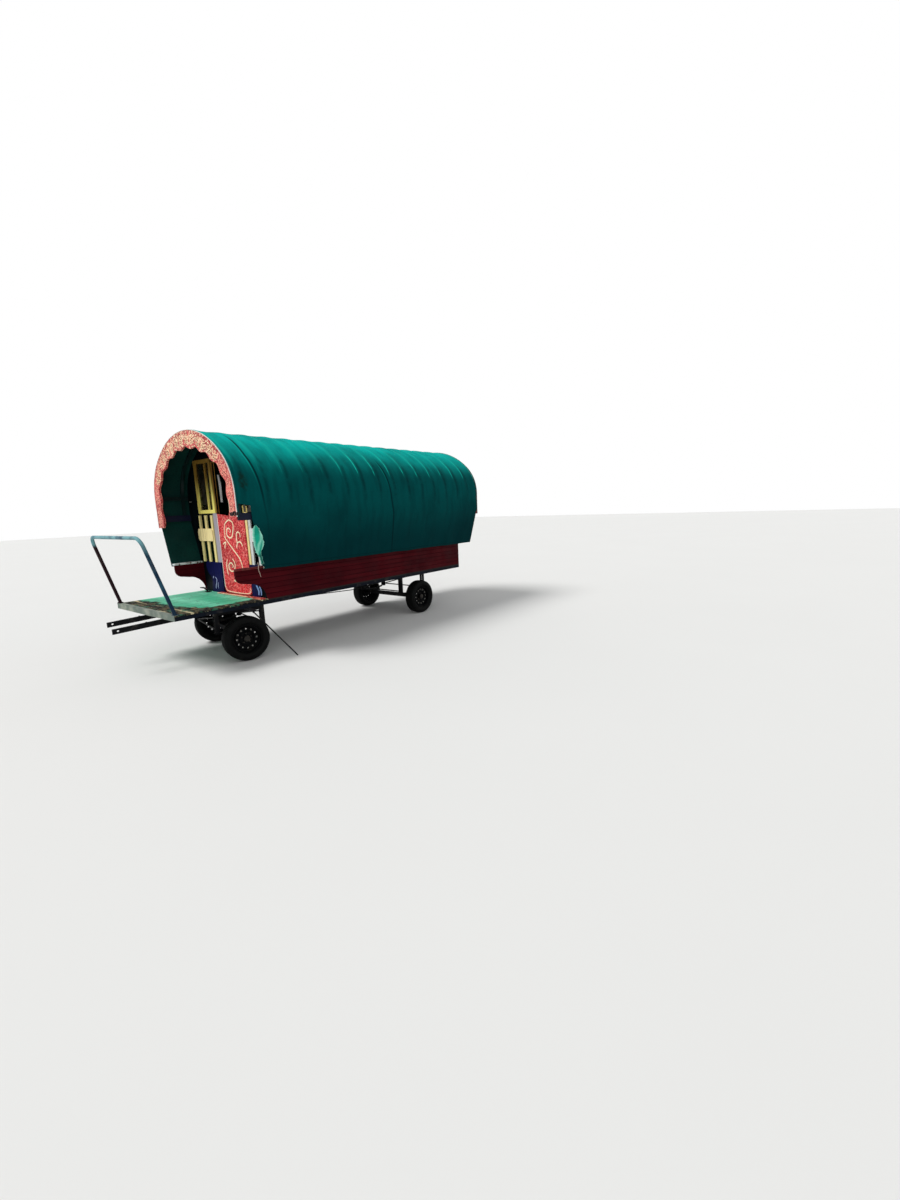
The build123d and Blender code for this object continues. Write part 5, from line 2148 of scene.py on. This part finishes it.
@dataclass
class Body:
    """The boarded sides, the walls and the roof frame."""

    rear_y: float = 2.488
    window_low: float = 1.50
    window_high: float = 1.98
    window_half: float = 0.31
    net: Flat = (0.33, 0.47)
    side_x: float = 0.765
    nailed_posts: int = 7
    first_post_y: float = -1.30
    post_pitch: float = 0.62

    def build(self) -> None:
        """Dresses the body and builds what its back carries."""
        dress(MAROON_BOARDS, "side_boards_left", "side_boards_right", "rear_boards")
        dress(LEDGE_PAINT, "ledges")
        dress(DARK_LINING, "side_wall_left", "side_wall_right")
        dress(WAIST_PAINT, "waist_rails")
        dress(BOW_WOOD, "roof_frame")
        dress(REAR_BOARDS, "rear_wall")
        dress(REAR_WINDOW_PAINT, "rear_window")
        self._rear_panes()
        self._nails()

    def _rear_panes(self) -> None:
        """Sets the rear window's glass, with a net curtain behind it."""
        piece = Workpiece()
        y = self.rear_y - 0.004
        piece.block(
            (-self.window_half + 0.02, y, self.window_low + 0.02),
            (self.window_half - 0.02, y + 0.003, self.window_high - 0.02),
        )
        piece.finished("rear_pane", "root", GLASS)
        for number, sign in enumerate((1, -1)):
            net = Workpiece()

            def lay(u: float, v: float) -> Point:
                """Places one point of the grid.

                Args:
                    u: Share across.
                    v: Share along.

                Returns:
                    The place.
                """
                z = self.window_high - 0.01 - self.net[1] * v
                drawn = 0.16 + 0.10 * (1 - math.sin(math.pi * min(1.0, v * 1.1)))
                x = sign * (self.window_half - 0.015 - drawn * u)
                return (x, self.rear_y - 0.046 + 0.010 * math.sin(u * 30.0), z)

            net.grid(30, 16, lay)
            net.face_out()
            made = net.finished(f"rear_curtain_{number + 1}", "root", CURTAIN, 70.0)
            thicken(made, 0.001)

    def _nails(self) -> None:
        """Sets nail heads in the lower boards, two to a board at each post."""
        piece = Workpiece()
        for sign in (1, -1):
            x = sign * self.side_x
            for post in range(self.nailed_posts):
                y = self.first_post_y + post * self.post_pitch
                for row in range(BOARDS):
                    z = BOARDS_LOW_Z + (row + 0.5) * BOARD_PITCH
                    piece.rod((x - sign * 0.001, y, z), (x + sign * 0.0012, y, z), 0.0042, 6, 0.003)
        piece.finished("board_nails", "root", MAROON_BOARDS)


@dataclass
class Wheel:
    """One road wheel: its tyre, wheel nuts, cap and vent lips."""

    corner: str
    seat: Matrix
    outward: float
    carcass: tuple[Flat, ...] = (
        (0.0500, 0.1695),
        (0.0500, 0.1795),
        (0.0640, 0.1850),
        (0.0730, 0.1930),
        (0.0775, 0.1990),
        (0.0790, 0.2010),
        (0.0808, 0.2050),
        (0.0822, 0.2120),
        (0.0834, 0.2128),
        (0.0834, 0.2160),
        (0.0822, 0.2168),
        (0.0818, 0.2280),
        (0.0800, 0.2390),
        (0.0772, 0.2470),
        (0.0782, 0.2480),
        (0.0735, 0.2560),
    )
    tread: tuple[Flat, ...] = (
        (0.0610, 0.2620),
        (0.0370, 0.2645),
        (0.0125, 0.2655),
    )
    steps: int = 84
    tread_from: float = 0.2575
    block_rise: float = 0.0042
    nuts: int = 5
    nut_circle: float = 0.0575
    vents: int = 12
    vent_circle: float = 0.116

    def build(self) -> None:
        """Builds the tyre over its rim and the small parts of the hub."""
        dress(RIM_STEEL, f"rim_{self.corner}")
        self._tyre()
        self._hub()

    def _tyre(self) -> None:
        """Spins the tyre and cuts its tread into blocks."""
        piece = Workpiece()
        half = [*self.carcass, *self.tread]
        profile = half + [(-x, r) for x, r in reversed(half)]
        faces = piece.turned(profile, Matrix.Identity(4), self.steps)
        centres = ((f, f.calc_center_median()) for f in faces)
        tread = [f for f, spot in centres if math.hypot(spot.y, spot.z) > self.tread_from]
        bmesh.ops.inset_individual(
            piece.bm, faces=tread, thickness=0.0030, depth=self.block_rise, use_even_offset=True
        )
        bmesh.ops.transform(piece.bm, matrix=self.seat, verts=piece.bm.verts)
        if self.seat.determinant() < 0:
            bmesh.ops.reverse_faces(piece.bm, faces=piece.bm.faces)
        tyre = f"tyre_{self.corner}"
        body = f"wheel_{self.corner}"
        piece.finished(f"tread_{tyre}", body, RUBBER, 28.0, [tyre])

    def _hub(self) -> None:
        """Adds the wheel nuts, the cap and the pale lips of the rim's vents."""
        piece = Workpiece()
        out = self.outward
        for number in range(self.nuts):
            turn = Matrix.Rotation(2 * math.pi * number / self.nuts, 4, "X")
            start, middle, end = (
                turn @ Vector((out * x, 0, self.nut_circle)) for x in (0.009, 0.020, 0.026)
            )
            piece.rod(start, middle, 0.0095, 6)
            piece.rod(middle, end, 0.0075, 10, 0.004)
        cap = [(0.0425, 0.001), (0.0425, 0.0370), (0.0500, 0.0360), (0.0545, 0.0310), (0.0560, 0.0010)]
        piece.turned([(out * x, r) for x, r in cap], Matrix.Identity(4), 24)
        bmesh.ops.transform(piece.bm, matrix=self.seat, verts=piece.bm.verts)
        piece.face_out()
        piece.finished(f"hub_{self.corner}", f"wheel_{self.corner}", GREASY_STEEL)
        ring = Workpiece()
        for number in range(self.vents):
            turn = Matrix.Rotation(2 * math.pi * number / self.vents, 4, "X")
            lip = turn @ Matrix.Translation((out * 0.0312, 0, self.vent_circle))
            profile = [(0.0, 0.0072), (0.0, 0.0100), (out * 0.0014, 0.0094), (out * 0.0014, 0.0076)]
            ring.turned(profile, lip, 10)
        bmesh.ops.transform(ring.bm, matrix=self.seat, verts=ring.bm.verts)
        ring.face_out()
        ring.finished(f"vent_lips_{self.corner}", f"wheel_{self.corner}", VENT_EDGE)


@dataclass
class RunningGear:
    """The chassis, the turntable, the springs and what pulls and brakes the wagon."""

    front_y: float = -1.482
    rear_y: float = 1.518
    park_turn: float = math.radians(-12.5)
    wheel_x: float = 0.6425
    axle_z: float = 0.270
    spring_x: float = 0.480
    axle_top: float = 0.300
    spring_tall: float = 0.036
    plate_tall: float = 0.012
    clamp_bolt: Flat = (0.0245, 0.022)
    spring_eye: Point = (0.0295, 0.27, 0.3665)
    drawbar_x: float = 0.245
    drawbar_fall: float = 0.07

    def build(self) -> None:
        """Dresses the gear and adds its bolts."""
        dress(NAVY_STEEL, "chassis_side_rails")
        dress(BLACK_STEEL, "chassis_cross_members", "chassis_runners", "rear_axle", "front_axle")
        dress(BLACK_STEEL, "rear_springs", "front_springs", "rear_hangers", "front_hangers")
        dress(BLACK_STEEL, "truck_frame", "drawbar_left", "drawbar_right", "brake_gear")
        dress(BLACK_STEEL, "staff_bracket", "drag_staff")
        dress(GREASY_STEEL, "upper_ring", "lower_ring", "king_pin")
        truck = Matrix.Translation((0, self.front_y, 0)) @ Matrix.Rotation(self.park_turn, 4, "Z")
        rear = Matrix.Translation((0, self.rear_y, 0))
        self._clamps("front_spring_clamps", "front_truck", truck)
        self._clamps("rear_spring_clamps", "root", rear)
        self._drawbar_bolts(truck)
        for end, seat in (("front", truck), ("rear", rear)):
            for side, sign in (("left", 1.0), ("right", -1.0)):
                place = seat @ Matrix.Translation((sign * self.wheel_x, 0, self.axle_z))
                Wheel(f"{end}_{side}", place, sign).build()

    def _clamps(self, name: str, body: str, seat: Matrix) -> None:
        """Adds the U bolts and nuts that hold the springs on an axle.

        Args:
            name: Name of the piece.
            body: Body that it rides on.
            seat: Place of the axle.
        """
        piece = Workpiece()
        top = self.axle_top + self.spring_tall + self.plate_tall
        across, along = self.clamp_bolt
        eye_x, eye_y, eye_z = self.spring_eye
        for sign in (1, -1):
            for hand in (-1, 1):
                for y in (-along, along):
                    x = sign * self.spring_x + hand * across
                    piece.rod((x, y, top - 0.002), (x, y, top + 0.022), 0.005, 8)
                    piece.rod((x, y, top - 0.001), (x, y, top + 0.009), 0.0085, 6)
            for y in (-eye_y, eye_y):
                for hand in (-1, 1):
                    x = sign * self.spring_x + hand * eye_x
                    piece.rod((x - hand * 0.002, y, eye_z), (x + hand * 0.009, y, eye_z), 0.011, 6)
        bmesh.ops.transform(piece.bm, matrix=seat, verts=piece.bm.verts)
        piece.finished(name, body, BLACK_STEEL)

    def _drawbar_bolts(self, truck: Matrix) -> None:
        """Adds the bolt heads on the drawbars.

        Args:
            truck: Place of the steered truck.
        """
        piece = Workpiece()
        for sign in (1, -1):
            for y in (-0.30, -0.55, -0.95):
                x = sign * self.drawbar_x
                fall = self.drawbar_fall * (-0.04 - y)
                piece.rod((x, y, 0.629 - fall), (x, y, 0.637 - fall), 0.010, 6)
                out = x + sign * 0.0135
                piece.rod((out, y, 0.602 - fall), (out + sign * 0.008, y, 0.602 - fall), 0.010, 6)
        bmesh.ops.transform(piece.bm, matrix=truck, verts=piece.bm.verts)
        piece.finished("drawbar_bolts", "front_truck", BLACK_STEEL)


@dataclass
class Studio:
    """The floor, the lamps, the world and the camera at the photo's viewpoint."""

    camera_at: Point = (6.221, -4.706, 1.736)
    yaw: float = math.radians(38.34)
    pitch: float = math.radians(10.54)
    roll: float = math.radians(-2.15)
    focal_px: float = 502.57
    long_side_px: float = 1200.0
    sensor: float = 36.0

    def build(self) -> None:
        """Sets up the studio."""
        self._camera()
        self._floor()
        self._lamps()
        self._world()
        bpy.context.scene.view_settings.view_transform = "Standard"

    def _camera(self) -> None:
        """Makes the camera."""
        data = bpy.data.cameras.new("view")
        data.sensor_fit = "AUTO"
        data.sensor_width = self.sensor
        data.lens = self.sensor * self.focal_px / self.long_side_px
        level, drop = math.cos(self.pitch), math.sin(self.pitch)
        ahead = Vector((-math.sin(self.yaw) * level, math.cos(self.yaw) * level, -drop))
        right = Vector((math.cos(self.yaw), math.sin(self.yaw), 0.0))
        up = right.cross(ahead)
        side = right * math.cos(self.roll) + up * math.sin(self.roll)
        top = -right * math.sin(self.roll) + up * math.cos(self.roll)
        turn = Matrix((side, top, -ahead)).transposed().to_4x4()
        camera = add_object("view", data)
        camera.matrix_world = Matrix.Translation(self.camera_at) @ turn
        bpy.context.scene.camera = camera

    def _floor(self) -> None:
        """Lays the plain pale floor."""
        mesh = bpy.data.meshes.new("floor")
        bm = bmesh.new()
        bmesh.ops.create_grid(bm, x_segments=1, y_segments=1, size=60.0)
        bm.to_mesh(mesh)
        bm.free()
        floor = add_object("floor", mesh)
        r = Recipe("studio_floor")
        soft = r.level(r.cloud(0.4, 3), 0.3, 0.7, 0.0, 0.06)
        mesh.materials.append(r.done(r.mix(soft, screen(232, 231, 228), screen(216, 215, 212)), 0.9))

    def _lamps(self) -> None:
        """Hangs a broad soft key lamp high on the far side, and a weak one on the near side."""
        for name, towards, spread, strength in (
            ("key", (0.42, 0.66, -1.0), 24.0, 2.25),
            ("fill", (-1.0, 0.60, -0.50), 60.0, 0.50),
        ):
            data = bpy.data.lights.new(name, "SUN")
            data.angle = math.radians(spread)
            data.energy = strength
            lamp = add_object(name, data)
            lamp.rotation_mode = "QUATERNION"
            lamp.rotation_quaternion = Vector(towards).to_track_quat("-Z", "Y")

    def _world(self) -> None:
        """Makes the world light the object softly and look white to the camera."""
        world = bpy.data.worlds.new("studio")
        world.use_nodes = True
        tree = world.node_tree
        link = tree.links.new
        shown = tree.nodes["Background"]
        shown.inputs["Color"].default_value = (1, 1, 1, 1)
        shown.inputs["Strength"].default_value = 1.0
        ambient = tree.nodes.new("ShaderNodeBackground")
        ambient.inputs["Color"].default_value = (0.94, 0.97, 1.0, 1)
        ambient.inputs["Strength"].default_value = 0.42
        path = tree.nodes.new("ShaderNodeLightPath")
        white = path.outputs["Is Camera Ray"]
        for ray in ("Is Glossy Ray", "Is Transmission Ray"):
            either = tree.nodes.new("ShaderNodeMath")
            either.operation = "MAXIMUM"
            link(white, either.inputs[0])
            link(path.outputs[ray], either.inputs[1])
            white = either.outputs[0]
        mix = tree.nodes.new("ShaderNodeMixShader")
        link(white, mix.inputs[0])
        link(ambient.outputs[0], mix.inputs[1])
        link(shown.outputs[0], mix.inputs[2])
        link(mix.outputs[0], tree.nodes["World Output"].inputs["Surface"])
        bpy.context.scene.world = world


def main() -> None:
    """Builds the wagon's looks and the studio."""
    logging.basicConfig(level=logging.INFO, format="%(name)s: %(message)s")
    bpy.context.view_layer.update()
    Studio().build()
    Cover().build()
    Crown("front_crown", "crown_front", -1.767, -1.0, 1.71).build()
    Crown("rear_crown", "crown_rear", 2.793, 1.0, 1.595).build()
    Porch().build()
    Platform().build()
    Body().build()
    RunningGear().build()


if __name__ == "__main__":
    main()
